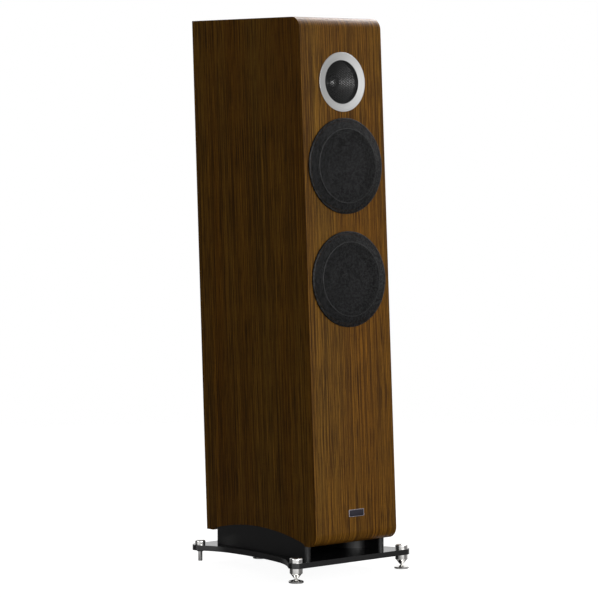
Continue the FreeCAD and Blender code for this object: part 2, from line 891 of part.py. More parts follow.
def build_spike(name, across, along):
    """A threaded stud with a thick collar and a stepped point."""
    ease = S.tip_radius / 2
    waist = S.tip_radius * 2
    neck = S.tip_height * 2
    body = turned_piece(f"{name}_spike", [
        Corner(0, S.tip_height),
        Corner(S.tip_radius, S.tip_height),
        Corner(waist, neck - S.tip_radius),
        Corner(S.stud_radius, neck),
        Corner(S.collar_radius - ease * 4, S.collar_bottom - ease * 2),
        Corner(S.collar_radius, S.collar_bottom + ease),
        Corner(S.collar_radius, S.plate_bottom - ease),
        Corner(S.collar_radius - ease, S.plate_bottom),
        Corner(S.stud_radius, S.plate_bottom),
        Corner(S.stud_radius, S.stud_top),
        Corner(0, S.stud_top),
    ])
    place(body, across, along, 0)


def build_spike_cup(name, across, along):
    """The floor disc that a spike stands in, low at the rim and dimpled at the crown."""
    ease = S.tip_radius / 2
    body = turned_piece(f"{name}_spike_cup", [
        Corner(0, 0),
        Corner(S.cup_radius - ease, 0),
        Corner(S.cup_radius, ease),
        Corner(S.cup_radius, S.cup_rim_height - ease),
        Corner(S.cup_radius - ease, S.cup_rim_height),
        Corner(S.cup_crown_radius, S.cup_crown_height),
        Corner(S.cup_bore_radius, S.cup_crown_height),
        Corner(S.tip_radius + ease / 6, S.tip_height),
        Corner(0, S.tip_height),
    ])
    place(body, across, along, 0)


def rounded_cap(radius, bottom, top):
    """The outside of a screw cap with a domed edge, from its bottom edge to its middle."""
    return [
        Corner(radius, bottom),
        Corner(radius, top - S.knob_round),
        Bend(radius - S.knob_round, top, radius - S.knob_round, top - S.knob_round),
        Corner(0, top),
    ]


def build_lock_knob(name, across, along):
    """A blind screw cap that locks a spike's stud from above."""
    bore = S.stud_radius + S.running_gap
    bore_top = S.stud_top + S.loose_gap
    body = turned_piece(f"{name}_lock_knob", rounded_cap(
        S.knob_radius, S.plate_top, S.plate_top + S.knob_height) + [
        Corner(0, bore_top),
        Corner(bore, bore_top),
        Corner(bore, S.plate_top),
    ])
    place(body, across, along, 0)


def build_stabiliser_bolt(name, across, along):
    """A capped bolt through a rear ear that stops just above the floor."""
    ease = S.tip_radius / 2
    top = S.plate_top + S.knob_height - ease
    body = turned_piece(f"{name}_stabiliser_bolt", rounded_cap(
        S.stabiliser_cap_radius, S.plate_top, top) + [
        Corner(0, S.stabiliser_clearance),
        Corner(S.stabiliser_radius - ease, S.stabiliser_clearance),
        Corner(S.stabiliser_radius, S.stabiliser_clearance + ease),
        Corner(S.stabiliser_radius, S.plate_top),
    ])
    place(body, across, along, 0)


# ---------------------------------------------------------------- woofers

def build_woofer_basket(label, height):
    """Cast frame: flange, conical wall with windows, a shelf for the spider and a foot."""
    body = new_body(label)
    wall = S.basket_wall
    shoulder = S.woofer_flange_thickness * 3
    outer = S.woofer_opening_radius - S.loose_gap
    shelf = S.woofer_spider_setback
    turn(body, [
        Corner(S.woofer_window_radius, 0),
        Corner(S.woofer_flange_radius, 0),
        Corner(S.woofer_flange_radius, -S.woofer_flange_thickness),
        Corner(outer, -S.woofer_flange_thickness),
        Corner(outer, -shoulder),
        Corner(S.woofer_basket_foot, -shelf),
        Corner(S.woofer_basket_foot, -S.woofer_basket_depth),
        Corner(S.woofer_motor_radius / 2, -S.woofer_basket_depth),
        Corner(S.woofer_motor_radius / 2, wall - S.woofer_basket_depth),
        Corner(S.woofer_basket_foot - wall * 2, wall - S.woofer_basket_depth),
        Corner(S.woofer_basket_foot - wall * 2, -shelf),
        Corner(S.woofer_spider_radius, -shelf),
        Corner(outer - wall, -shoulder),
        Corner(outer - wall, -S.woofer_cone_setback - S.skin),
        Corner(S.woofer_window_radius, -S.woofer_cone_setback - S.skin),
    ])
    # One window between two arms, seen along the axis, then repeated round the basket.
    window = new_sketch(body, "XY_Plane")
    inside = S.woofer_basket_foot + S.skin
    outside = outer - wall - S.skin
    half_angle = as_size(20)
    draw_outline(window, [
        Corner(inside * cosine(half_angle), -inside * cosine(90 - half_angle)),
        Corner(outside * cosine(half_angle), -outside * cosine(90 - half_angle)),
        Corner(outside * cosine(half_angle), outside * cosine(90 - half_angle)),
        Corner(inside * cosine(half_angle), inside * cosine(90 - half_angle)),
    ])
    cut = pocket(body, window, S.woofer_basket_depth)
    repeat_round(body, cut, 6)
    screw_holes_round(body, S.woofer_screw_circle, S.woofer_flange_thickness)
    place_on_front(body, height)


def build_woofer_cone(label, height):
    """Cone, dust cap and coil former, glued into one moving piece."""
    cone_edge = -S.woofer_cone_setback
    cap_edge = -S.woofer_cap_setback
    crown = S.woofer_cap_rise + cap_edge
    coil, skin = S.woofer_coil_radius, S.skin
    throat = cap_edge - skin * 3
    coil_end = -S.woofer_basket_depth - skin * 8
    cap_radius_squared = S.woofer_cap_radius * S.woofer_cap_radius
    sphere = (cap_radius_squared / S.woofer_cap_rise + S.woofer_cap_rise) / 2
    body = turned_piece(label, [
        Corner(S.woofer_cone_radius, cone_edge),
        Corner(S.woofer_cap_radius, cap_edge),
        Bend(0, crown, 0, crown - sphere),
        Corner(0, crown - skin),
        Corner(coil, cap_edge),
        Corner(coil, coil_end),
        Corner(coil + skin, coil_end),
        Corner(coil + skin, throat),
        Corner(S.woofer_cone_radius, cone_edge - skin),
    ])
    place_on_front(body, height)


def build_woofer_surround(label, height):
    """The half roll that joins the cone's edge to the basket."""
    inner, outer = S.woofer_cone_radius, S.woofer_window_radius - S.basket_wall
    middle = (inner + outer) / 2
    sheet = S.skin / 2
    seat = -S.woofer_cone_setback - sheet
    body = turned_piece(label, [
        Corner(inner, seat),
        Bend(outer, seat, middle, seat, clockwise=True),
        Corner(outer + sheet * 5, seat),
        Corner(outer + sheet * 5, seat - sheet),
        Corner(outer - sheet, seat - sheet),
        Corner(outer - sheet, seat),
        Bend(inner + sheet, seat, middle, seat),
        Corner(inner + sheet, seat - sheet),
        Corner(inner, seat - sheet),
    ])
    place_on_front(body, height)


def build_woofer_spider(label, height):
    """A corrugated disc that centres the coil former."""
    inner = S.woofer_coil_radius + S.skin
    outer = S.woofer_spider_radius - S.skin
    sheet = S.skin / 2
    level = -S.woofer_spider_setback
    folds = 8
    swing = S.spider_wave
    crests = []
    for index in range(folds + 1):
        radius = inner + (outer - inner) * index / folds
        rise = swing if index % 2 else sheet * 0
        crests.append((radius, level + rise))
    upper = [Corner(radius, up + sheet) for radius, up in crests]
    lower = [Corner(radius, up) for radius, up in reversed(crests)]
    body = turned_piece(label, upper + lower)
    place_on_front(body, height)


def build_woofer_motor(label, height):
    """Top plate, magnet and back plate round a pole, with the gap that the coil moves in."""
    coil = S.woofer_coil_radius
    pole = coil - S.skin / 2
    gap = coil + S.skin * 2
    face = -S.woofer_basket_depth
    plate = S.motor_plate
    back = -S.woofer_motor_depth
    body = turned_piece(label, [
        Corner(0, face),
        Corner(pole, face),
        Corner(pole, back + plate),
        Corner(gap + plate, back + plate),
        Corner(gap + plate, face - plate),
        Corner(gap, face - plate),
        Corner(gap, face),
        Corner(S.woofer_motor_radius, face),
        Corner(S.woofer_motor_radius, back),
        Corner(0, back),
    ])
    place_on_front(body, height)


def build_woofer(name, height):
    build_woofer_basket(f"{name}_woofer_basket", height)
    build_woofer_cone(f"{name}_woofer_cone", height)
    build_woofer_surround(f"{name}_woofer_surround", height)
    build_woofer_spider(f"{name}_woofer_spider", height)
    build_woofer_motor(f"{name}_woofer_motor", height)


def build_grille(label, height):
    """A pressed dish: upright rim, sloping shoulder and flat face, with a lip behind."""
    sheet = S.grille_sheet
    body = turned_piece(label, [
        Corner(0, S.grille_height),
        Corner(S.grille_face_radius, S.grille_height),
        Corner(S.grille_radius, S.grille_rim),
        Corner(S.grille_radius, 0),
        Corner(S.grille_radius - S.grille_lip, 0),
        Corner(S.grille_radius - S.grille_lip, sheet),
        Corner(S.grille_radius - sheet, sheet),
        Corner(S.grille_radius - sheet, S.grille_rim - sheet / 2),
        Corner(S.grille_face_radius - sheet / 4, S.grille_height - sheet),
        Corner(0, S.grille_height - sheet),
    ])
    place_on_front(body, height)


# ---------------------------------------------------------------- coaxial driver

def build_coax_trim_ring():
    """A bright ring, gently dished towards its opening, over the driver's flange."""
    back = S.coax_flange_thickness - S.coax_recess
    ease = S.ring_proud / 2
    body = turned_piece("coax_trim_ring", [
        Corner(S.ring_opening, back),
        Corner(S.ring_radius, back),
        Corner(S.ring_radius, S.ring_proud - ease),
        Bend(S.ring_radius - ease, S.ring_proud, S.ring_radius - ease, S.ring_proud - ease),
        Corner(S.ring_opening, S.ring_proud - S.ring_dish),
    ])
    place_on_front(body, S.coax_height)


def build_coax_mesh():
    """The guard over the driver, a thin disc held just inside the ring."""
    face = S.ring_proud - S.ring_dish - S.grille_sheet / 2
    radius = S.ring_opening - S.running_gap
    body = turned_piece("coax_mesh", [
        Corner(0, face),
        Corner(radius, face),
        Corner(radius, face - S.grille_sheet),
        Corner(0, face - S.grille_sheet),
    ])
    place_on_front(body, S.coax_height)


def build_mid_cone():
    """Midrange cone and its coil former round the tweeter."""
    skin = S.skin / 2
    throat, throat_level = S.mid_throat_radius, -S.mid_throat_setback
    coil_end = throat_level - S.coax_recess * 2
    body = turned_piece("mid_cone", [
        Corner(S.mid_cone_radius, -S.mid_cone_setback),
        Corner(throat, throat_level),
        Corner(throat, coil_end),
        Corner(throat + skin, coil_end),
        Corner(throat + skin, throat_level - skin),
        Corner(S.mid_cone_radius, -S.mid_cone_setback - skin),
    ])
    place_on_front(body, S.coax_height)


def build_mid_surround():
    skin = S.skin / 2
    inner = S.mid_cone_radius
    outer = S.coax_basket_radius - S.skin * 2
    middle = (inner + outer) / 2
    level = -S.mid_cone_setback
    body = turned_piece("mid_surround", [
        Corner(inner, level),
        Bend(outer, level, middle, level, clockwise=True),
        Corner(outer, level - skin),
        Corner(outer - skin, level - skin),
        Corner(outer - skin, level),
        Bend(inner + skin, level, middle, level),
        Corner(inner + skin, level - skin),
        Corner(inner, level - skin),
    ])
    place_on_front(body, S.coax_height)


def build_coax_chassis():
    """Flange, short basket and motor; its pole carries the tweeter at the mouth of the cone."""
    flange_face = S.coax_flange_thickness - S.coax_recess
    wall = S.skin * 2
    pole = S.mid_throat_radius - S.skin / 2
    pole_face = -S.mid_throat_setback
    gap = S.mid_throat_radius + S.skin
    gap_floor = pole_face - S.coax_recess * 2 - S.skin * 2
    floor = pole_face - S.coax_recess
    voice = S.tweeter_radius
    groove = pole_face - S.coax_flange_thickness
    body = new_body("coax_chassis")
    turn(body, [
        Corner(S.coax_basket_radius - wall, flange_face),
        Corner(S.ring_radius, flange_face),
        Corner(S.ring_radius, -S.coax_recess),
        Corner(S.coax_basket_radius, -S.coax_recess),
        Corner(S.coax_basket_radius, pole_face),
        Corner(S.coax_motor_radius, floor),
        Corner(S.coax_motor_radius, -S.coax_depth),
        Corner(0, -S.coax_depth),
        Corner(0, pole_face),
        Corner(voice - S.skin, pole_face),
        Corner(voice - S.skin, groove),
        Corner(voice + S.skin / 2, groove),
        Corner(voice + S.skin / 2, pole_face),
        Corner(pole, pole_face),
        Corner(pole, gap_floor),
        Corner(gap, gap_floor),
        Corner(gap, floor),
        Corner(S.coax_motor_radius - wall * 2, floor),
        Corner(S.coax_basket_radius - wall, pole_face + wall),
    ])
    screw_holes_round(body, S.coax_screw_circle, S.coax_flange_thickness, flange_face)
    heads = holes(body, [(S.coax_screw_circle, 0)], S.screw_head_radius + S.running_gap,
                  S.screw_head_height + S.running_gap, flange_face)
    repeat_round(body, heads, SCREWS_PER_DRIVER)
    place_on_front(body, S.coax_height)


def build_tweeter_dome():
    """A metal dome on its own coil former; its two skins share one centre."""
    skin = S.skin / 3
    radius, rise = S.tweeter_radius, S.tweeter_rise
    edge = skin - S.mid_throat_setback
    sphere = (radius * radius / rise + rise) / 2
    centre = edge + rise - sphere
    inner = radius - skin
    inner_sphere = sphere - skin
    inner_edge = centre + square_root(inner_sphere * inner_sphere - inner * inner)
    foot = edge - rise
    body = turned_piece("tweeter_dome", [
        Corner(radius, foot),
        Corner(radius, edge),
        Bend(0, centre + sphere, 0, centre),
        Corner(0, centre + inner_sphere),
        Bend(inner, inner_edge, 0, centre, clockwise=True),
        Corner(inner, foot),
    ])
    place_on_front(body, S.coax_height)


def build_badge():
    """A small plain plate with a raised frame."""
    body = new_body("badge")
    outline = new_sketch(body, "XY_Plane")
    half_width, half_height = S.badge_width / 2, S.badge_height / 2
    draw_outline(outline, rectangle(-half_width, half_width, -half_height, half_height))
    pad(body, outline, S.badge_thickness)
    field = new_sketch(body, "XY_Plane", S.badge_thickness)
    inner_width, inner_height = half_width - S.badge_frame, half_height - S.badge_frame
    draw_outline(field, rectangle(-inner_width, inner_width, -inner_height, inner_height))
    pocket(body, field, S.badge_thickness / 3)
    place_on_front(body, S.badge_centre_height)


# ---------------------------------------------------------------- terminals

def build_terminal_plate():
    body = new_body("terminal_plate")
    half_width, half_tall = S.terminal_width / 2, S.terminal_tall / 2
    outline = new_sketch(body, "XY_Plane")
    draw_outline(outline, rectangle(-half_width, half_width, -half_tall, half_tall))
    pad(body, outline, S.terminal_thickness)
    across, up = S.terminal_post_across / 2, S.terminal_post_up / 2
    posts = [(across * side, up * end) for side in (-1, 1) for end in (-1, 1)]
    holes(body, posts, S.post_radius + S.running_gap, S.terminal_thickness, S.terminal_thickness)
    holes(body, terminal_screw_points(), S.screw_hole_radius, S.terminal_thickness, S.terminal_thickness)
    place_on_rear(body, S.terminal_height)


def build_terminal_posts():
    """Four hollow posts with a shoulder on the plate and a socket for a plug."""
    body = new_body("terminal_posts", several=True)
    across, up = S.terminal_post_across / 2, S.terminal_post_up / 2
    whole = S.post_length + S.post_tail
    shanks = new_sketch(body, "XY_Plane", -S.post_tail)
    centres = [(across * side, up * end) for side in (-1, 1) for end in (-1, 1)]
    draw_circles(shanks, centres, S.post_radius)
    pad(body, shanks, whole)
    shoulders = new_sketch(body, "XY_Plane", S.terminal_thickness)
    draw_circles(shoulders, centres, S.post_flange_radius)
    pad(body, shoulders, S.post_flange_thickness)
    holes(body, centres, S.socket_radius, S.socket_depth, S.post_length)
    place_on_rear(body, S.terminal_height)


def build_jumper_links():
    """Two flat links between the upper and lower posts of each side."""
    body = new_body("jumper_links", several=True)
    across, up = S.terminal_post_across / 2, S.terminal_post_up / 2
    radius = S.jumper_end_radius
    sketch = new_sketch(body, "XY_Plane", TERMINAL_FACE)
    for side in (-1, 1):
        centre = across * side
        draw_outline(sketch, [
            Corner(centre - radius, -up),
            Bend(centre + radius, -up, centre, -up),
            Corner(centre + radius, up),
            Bend(centre - radius, up, centre, up),
        ])
        draw_circles(sketch, [(centre, -up), (centre, up)], S.post_radius + S.running_gap)
    pad(body, sketch, S.jumper_thickness)
    place_on_rear(body, S.terminal_height)


def terminal_corners():
    """Each post's name and place; the rear frame's y axis points down the panel."""
    across, up = S.terminal_post_across / 2, S.terminal_post_up / 2
    return [
        (f"{row}_{column}", across * side, up * way)
        for row, way in (("upper", -1), ("lower", 1))
        for column, side in (("left", -1), ("right", 1))
    ]


def place_on_terminal(body, across, up):
    """Like place_on_rear, but over one of the posts."""
    lean = up * cosine(S.rear_lean)
    height = S.terminal_height - lean
    place(body, across, rear_y(S.terminal_height) - up * cosine(90 - S.rear_lean), height, REAR_TILT)


def build_post_washer(name, across, up):
    bore = S.post_radius + S.running_gap
    low = TERMINAL_FACE + S.jumper_thickness
    body = turned_piece(f"{name}_post_washer", [
        Corner(bore, low),
        Corner(S.post_flange_radius, low),
        Corner(S.post_flange_radius, low + S.washer_thickness),
        Corner(bore, low + S.washer_thickness),
    ])
    place_on_terminal(body, across, up)


def build_post_cap(name, across, up):
    """A knurled nut with a grip of flutes and a narrower neck."""
    bore = S.post_radius + S.running_gap
    low = TERMINAL_FACE + S.jumper_thickness + S.washer_thickness
    high = low + S.cap_length
    neck = S.cap_neck_radius
    step = low + S.cap_grip_start
    body = new_body(f"{name}_post_cap")
    turn(body, [
        Corner(bore, low),
        Corner(neck, low),
        Corner(neck, step),
        Corner(S.cap_radius, step),
        Corner(S.cap_radius, high - S.skin / 2),
        Corner(S.cap_radius - S.skin / 2, high),
        Corner(bore, high),
    ])
    flute = holes(body, [(S.cap_radius + S.skin / 4, 0)], S.skin / 2, high - step, high)
    repeat_round(body, flute, 20)
    place_on_terminal(body, across, up)


def screw_shape():
    """A round-head screw along z with its head on the plane z = 0."""
    shank = Part.makeCylinder(S.screw_radius.value, S.screw_length.value, FreeCAD.Vector(), -Z_AXIS)
    head = Part.makeCylinder(S.screw_head_radius.value, S.screw_head_height.value)
    socket_floor = FreeCAD.Vector(0, 0, S.screw_head_height.value / 3)
    socket = Part.makeCylinder(S.screw_radius.value / 2, S.screw_head_height.value, socket_floor)
    return shank.fuse(head).cut(socket).removeSplitter()


def build_mounting_screws():
    """The same screw holds both woofers, the coaxial driver and the terminal plate, in three
    tilted planes, so the group is made from copies of one shape."""
    screw = screw_shape()
    coax_face = (S.coax_flange_thickness - S.coax_recess - S.screw_head_height - S.running_gap).value
    rings = (
        (S.upper_woofer_height, S.woofer_screw_circle, 0),
        (S.lower_woofer_height, S.woofer_screw_circle, 0),
        (S.coax_height, S.coax_screw_circle, coax_face),
    )
    copies = []
    for height, circle, level in rings:
        frame = FreeCAD.Placement(
            FreeCAD.Vector(0, front_y(height).value, height.value),
            FreeCAD.Rotation(X_AXIS, FRONT_TILT.value))
        for across, up in ring_of_points(0, circle):
            spot = FreeCAD.Placement(FreeCAD.Vector(across.value, up.value, level), FreeCAD.Rotation())
            copies.append(screw.transformed((frame * spot).toMatrix()))
    frame = FreeCAD.Placement(
        FreeCAD.Vector(0, rear_y(S.terminal_height).value, S.terminal_height.value),
        FreeCAD.Rotation(X_AXIS, REAR_TILT.value))
    for across, up in terminal_screw_points():
        spot = FreeCAD.Vector(as_size(across).value, as_size(up).value, S.terminal_thickness.value)
        place = frame * FreeCAD.Placement(spot, FreeCAD.Rotation())
        copies.append(screw.transformed(place.toMatrix()))
    group = doc.addObject("Part::Feature", "mounting_screws")
    group.Label = "mounting_screws"
    group.Shape = Part.makeCompound(copies)
    group.Placement = FreeCAD.Placement()


# ---------------------------------------------------------------- crossover and wiring

BOARD_FACE = S.board_standoff + S.board_thickness - INNER_WIDTH


def build_crossover_board():
    """A board on four standoffs, on the inner face of the left side."""
    body = new_body("crossover_board")
    half_across, half_tall = S.board_across / 2, S.board_tall / 2
    middle, level = S.board_middle_place, S.board_middle_height
    sketch = new_sketch(body, "YZ_Plane", BOARD_FACE)
    outline = rectangle(middle - half_across, middle + half_across, level - half_tall, level + half_tall)
    draw_outline(sketch, outline)
    pad(body, sketch, S.board_thickness, backwards=True)
    pillars = new_sketch(body, "YZ_Plane", BOARD_FACE - S.board_thickness)
    inset = S.post_flange_radius
    centres = [(middle + (half_across - inset) * side, level + (half_tall - inset) * end)
               for side in (-1, 1) for end in (-1, 1)]
    draw_circles(pillars, centres, S.post_radius)
    pad(body, pillars, S.board_standoff, backwards=True)


def build_crossover_coils():
    """Three air-core coils that stand on the board."""
    body = new_body("crossover_coils", several=True)
    sketch = new_sketch(body, "YZ_Plane", BOARD_FACE)
    spacing = S.coil_spacing
    for step in (-1, 0, 1):
        along = S.board_middle_place + spacing * step
        up = S.board_middle_height + S.board_tall / 4
        draw_circle(sketch, along, up, S.coil_radius)
        draw_circle(sketch, along, up, S.coil_bore)
    pad(body, sketch, S.coil_length)


def build_crossover_capacitors():
    """Film capacitors lying side by side on the board."""
    body = new_body("crossover_capacitors", several=True)
    sketch = new_sketch(body, "XZ_Plane", -S.board_middle_place - S.capacitor_length / 2)
    for step in range(4):
        up = S.board_middle_height - S.board_tall / 2 + S.capacitor_start + S.capacitor_spacing * step
        draw_circle(sketch, BOARD_FACE + S.capacitor_radius, up, S.capacitor_radius)
    pad(body, sketch, S.capacitor_length)


def build_internal_cables():
    """The wiring loom from behind the terminals up to the drivers, swept along a bent path."""
    body = new_body("internal_cables")
    start = rear_inner_y(S.terminal_height) - S.panel_thickness
    run, bend = S.cable_run_place, S.cable_bend
    level = S.terminal_height
    top = S.divider_height - S.panel_thickness * 2
    end = run - S.woofer_motor_radius
    path = new_sketch(body, "YZ_Plane", S.cable_side_place)
    corners = [
        Corner(start, level),
        Corner(run + bend, level),
        Bend(run, level + bend, run + bend, level + bend, clockwise=True),
        Corner(run, top - bend),
        Bend(run - bend, top, run - bend, top - bend),
        Corner(end, top),
    ]
    for before, step in zip(corners, corners[1:]):
        path.addGeometry(step.curve_from(before), False)
    hold(path, "DistanceX", 0, 1, corners[0].across)
    hold(path, "DistanceY", 0, 1, corners[0].up)
    for index, step in enumerate(corners[1:]):
        hold(path, "DistanceX", index, step.end_vertex, step.across)
        hold(path, "DistanceY", index, step.end_vertex, step.up)
        if isinstance(step, Bend):
            step.bind_centre(path, index, corners[index])
        if index + 2 < len(corners):
            following = corners[index + 2]
            path.addConstraint(Sketcher.Constraint(
                "Coincident", index, step.end_vertex, index + 1, following.start_vertex))
    section = new_sketch(body, "XZ_Plane", -start)
    draw_circle(section, S.cable_side_place, level, S.cable_radius)
    pipe = body.newObject("PartDesign::AdditivePipe", "AdditivePipe")
    pipe.Profile = section
    pipe.Spine = path


# ---------------------------------------------------------------- assembly and export

def build_everything():
    build_side_panel("side_panel_left", -1)
    build_side_panel("side_panel_right", 1)
    build_front_baffle()
    build_rear_panel()
    build_shelf("top_panel", S.cabinet_top - S.panel_thickness, S.panel_thickness)
    build_bottom_panel()
    build_shelf("mid_chamber_divider", S.divider_height, S.brace_thickness)
    build_window_braces()
    build_damping_felt()
    build_port_duct()
    build_port_wall("port_wall_left", -1)
    build_port_wall("port_wall_right", 1)
    build_base_plate()
    build_base_fasteners()
    for foot in stud_places():
        build_spike(*foot)
        build_spike_cup(*foot)
        build_lock_knob(*foot)
    for foot in stabiliser_places():
        build_stabiliser_bolt(*foot)
    for name, height in (("upper", S.upper_woofer_height), ("lower", S.lower_woofer_height)):
        build_woofer(name, height)
        build_grille(f"{name}_grille", height)
    build_coax_trim_ring()
    build_coax_mesh()
    build_mid_cone()
    build_mid_surround()
    build_coax_chassis()
    build_tweeter_dome()
    build_badge()
    build_terminal_plate()
    build_terminal_posts()
    build_jumper_links()
    for corner in terminal_corners():
        build_post_washer(*corner)
        build_post_cap(*corner)
    build_mounting_screws()
    build_crossover_board()
    build_crossover_coils()
    build_crossover_capacitors()
    build_internal_cables()
    doc.recompute()


def sub_parts():
    groups = doc.findObjects("Part::Feature", Name="mounting_screws")
    return doc.findObjects("PartDesign::Body") + groups


def check_everything():
    for item in doc.Objects:
        if "Invalid" in item.State or "Error" in item.State:
            raise ValueError(f"{item.Name} is in state {item.State}")
    for item in sub_parts():
        if item.Shape.isNull() or not item.Shape.isValid() or not item.Shape.Solids:
            raise ValueError(f"{item.Label} has no valid solid")


def write_parts():
    os.makedirs("parts", exist_ok=True)
    for item in sub_parts():
        item.Shape.exportStep(f"parts/{item.Label}.step")


build_everything()
check_everything()
write_parts()
print(len(sub_parts()), "sub-parts written")
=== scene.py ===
"""A floorstanding loudspeaker in a pale studio, dressed around its CAD frame."""

import json
import math
from types import SimpleNamespace

import bpy
import numpy as np
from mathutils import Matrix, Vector, noise


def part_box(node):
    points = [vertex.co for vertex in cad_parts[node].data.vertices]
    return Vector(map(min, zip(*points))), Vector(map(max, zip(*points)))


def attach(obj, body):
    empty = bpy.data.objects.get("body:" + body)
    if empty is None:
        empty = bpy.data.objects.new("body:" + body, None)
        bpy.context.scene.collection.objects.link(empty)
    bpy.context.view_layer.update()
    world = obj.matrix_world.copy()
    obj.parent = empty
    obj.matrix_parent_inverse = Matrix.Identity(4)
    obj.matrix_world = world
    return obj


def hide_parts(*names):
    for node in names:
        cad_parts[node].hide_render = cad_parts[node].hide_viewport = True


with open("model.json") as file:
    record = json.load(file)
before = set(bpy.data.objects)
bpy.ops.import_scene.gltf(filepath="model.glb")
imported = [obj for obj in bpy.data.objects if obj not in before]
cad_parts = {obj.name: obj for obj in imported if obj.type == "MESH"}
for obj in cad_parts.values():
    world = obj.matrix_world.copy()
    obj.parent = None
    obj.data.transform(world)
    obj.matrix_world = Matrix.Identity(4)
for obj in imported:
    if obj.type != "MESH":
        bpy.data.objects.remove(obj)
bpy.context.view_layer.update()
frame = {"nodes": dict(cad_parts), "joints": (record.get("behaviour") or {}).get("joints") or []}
NODES = frame["nodes"]

MM = 0.001
ACROSS = Vector((1.0, 0.0, 0.0))
UPRIGHT = Vector((0.0, 0.0, 1.0))
BACKWARDS = Vector((0.0, 1.0, 0.0))
FEET = ("front_left", "front_right", "rear")
WOOFERS = ("upper", "lower")
POSTS = ("upper_left", "upper_right", "lower_left", "lower_right")
HOLE_SIDES = 12


# ---------------------------------------------------------------- measuring the frame

def joint_axis(name):
    """The direction a joint of the frame slides or turns along."""
    joint = next(j for j in frame["joints"] if j["name"] == name)
    return Vector(joint["axis"]).normalized()


def patch_on(node, normal):
    """Where a CAD node's middle stands on a face, the face's axes and its size along them."""
    axes = np.array([ACROSS, normal.cross(ACROSS), normal])
    places = np.array([v.co for v in NODES[node].data.vertices]) @ axes.T
    low, high = places.min(0), places.max(0)
    middle = (low + high) / 2
    middle[2] = low[2]
    return SimpleNamespace(origin=axes.T @ middle, axes=axes, size=high - low)


def surface_profile(node, patch):
    """Radius and greatest height of a round CAD node, from its middle outwards."""
    corners = np.array([v.co for v in NODES[node].data.vertices])
    places = (corners - patch.origin) @ patch.axes.T
    step = 0.2 * MM
    radii = np.round(np.hypot(places[:, 0], places[:, 1]) / step) * step
    found = np.unique(radii)
    return found, np.array([places[radii == radius, 2].max() for radius in found])


FRONT = joint_axis("upper_woofer_stroke")
REAR = joint_axis("upper_left_post_clamp")
UP_FRONT = FRONT.cross(ACROSS)


# ---------------------------------------------------------------- material nodes

class Finish:
    """A material made of nodes. Each method adds nodes and returns an output to feed on."""

    def __init__(self, name, **inputs):
        self.material = bpy.data.materials.new(name)
        self.material.use_nodes = True
        self.tree = self.material.node_tree
        self.shader = self.tree.nodes["Principled BSDF"]
        self.place = self.tree.nodes.new("ShaderNodeTexCoord").outputs["Object"]
        self.give(**inputs)

    def feed(self, socket, value):
        if isinstance(value, bpy.types.NodeSocket):
            self.tree.links.new(value, socket)
        elif socket.type == "RGBA":
            socket.default_value = (*value[:3], 1.0)
        else:
            socket.default_value = value

    def give(self, **inputs):
        """Sets the shader's own inputs: base_color=..., roughness=..."""
        for name, value in inputs.items():
            wanted = name.replace("_", " ").lower()
            socket = next(s for s in self.shader.inputs if s.name.lower() == wanted)
            self.feed(socket, value)

    def add(self, kind, inputs, **settings):
        node = self.tree.nodes.new("ShaderNode" + kind)
        for name, value in settings.items():
            setattr(node, name, value)
        for key, value in inputs.items():
            self.feed(node.inputs[key], value)
        return node

    def maths(self, operation, *values):
        inputs = dict(enumerate(values))
        return self.add("Math", inputs, operation=operation).outputs[0]

    def dot(self, first, second):
        inputs = {0: first, 1: second}
        return self.add("VectorMath", inputs, operation="DOT_PRODUCT").outputs["Value"]

    def along(self, direction):
        """How far a point lies along a direction."""
        return self.dot(self.place, direction)

    def stretched(self, place, factors):
        inputs = {0: place, 1: factors}
        return self.add("VectorMath", inputs, operation="MULTIPLY").outputs[0]

    def noise(self, place, scale=1.0, detail=3.0, roughness=0.5, distortion=0.0):
        inputs = {
            "Vector": place,
            "Scale": scale,
            "Detail": detail,
            "Roughness": roughness,
            "Distortion": distortion,
        }
        return self.add("TexNoise", inputs).outputs[0]

    def cell_edges(self, place):
        inputs = {"Vector": place, "Scale": 1.0}
        return self.add("TexVoronoi", inputs, feature="DISTANCE_TO_EDGE").outputs["Distance"]

    def remap(self, value, low, high, to_low=0.0, to_high=1.0):
        inputs = {0: value, 1: low, 2: high, 3: to_low, 4: to_high}
        return self.add("MapRange", inputs).outputs[0]

    def blend(self, factor, first, second):
        node = self.add("Mix", {0: factor}, data_type="RGBA")
        self.feed(node.inputs[6], first)
        self.feed(node.inputs[7], second)
        return node.outputs[2]

    def bump(self, height, depth, strength):
        inputs = {"Height": height, "Distance": depth, "Strength": strength}
        return self.add("Bump", inputs).outputs[0]


def polar(finish, patch):
    """Distance from a round part's axis and the angle about it."""
    offset = finish.add("VectorMath", {0: finish.place, 1: patch.origin}, operation="SUBTRACT")
    sides = [finish.dot(offset.outputs[0], axis) for axis in patch.axes[:2]]
    squares = [finish.maths("MULTIPLY", side, side) for side in sides]
    radius = finish.maths("SQRT", finish.maths("ADD", *squares))
    return radius, finish.maths("ARCTAN2", *sides)


# ---------------------------------------------------------------- finishes

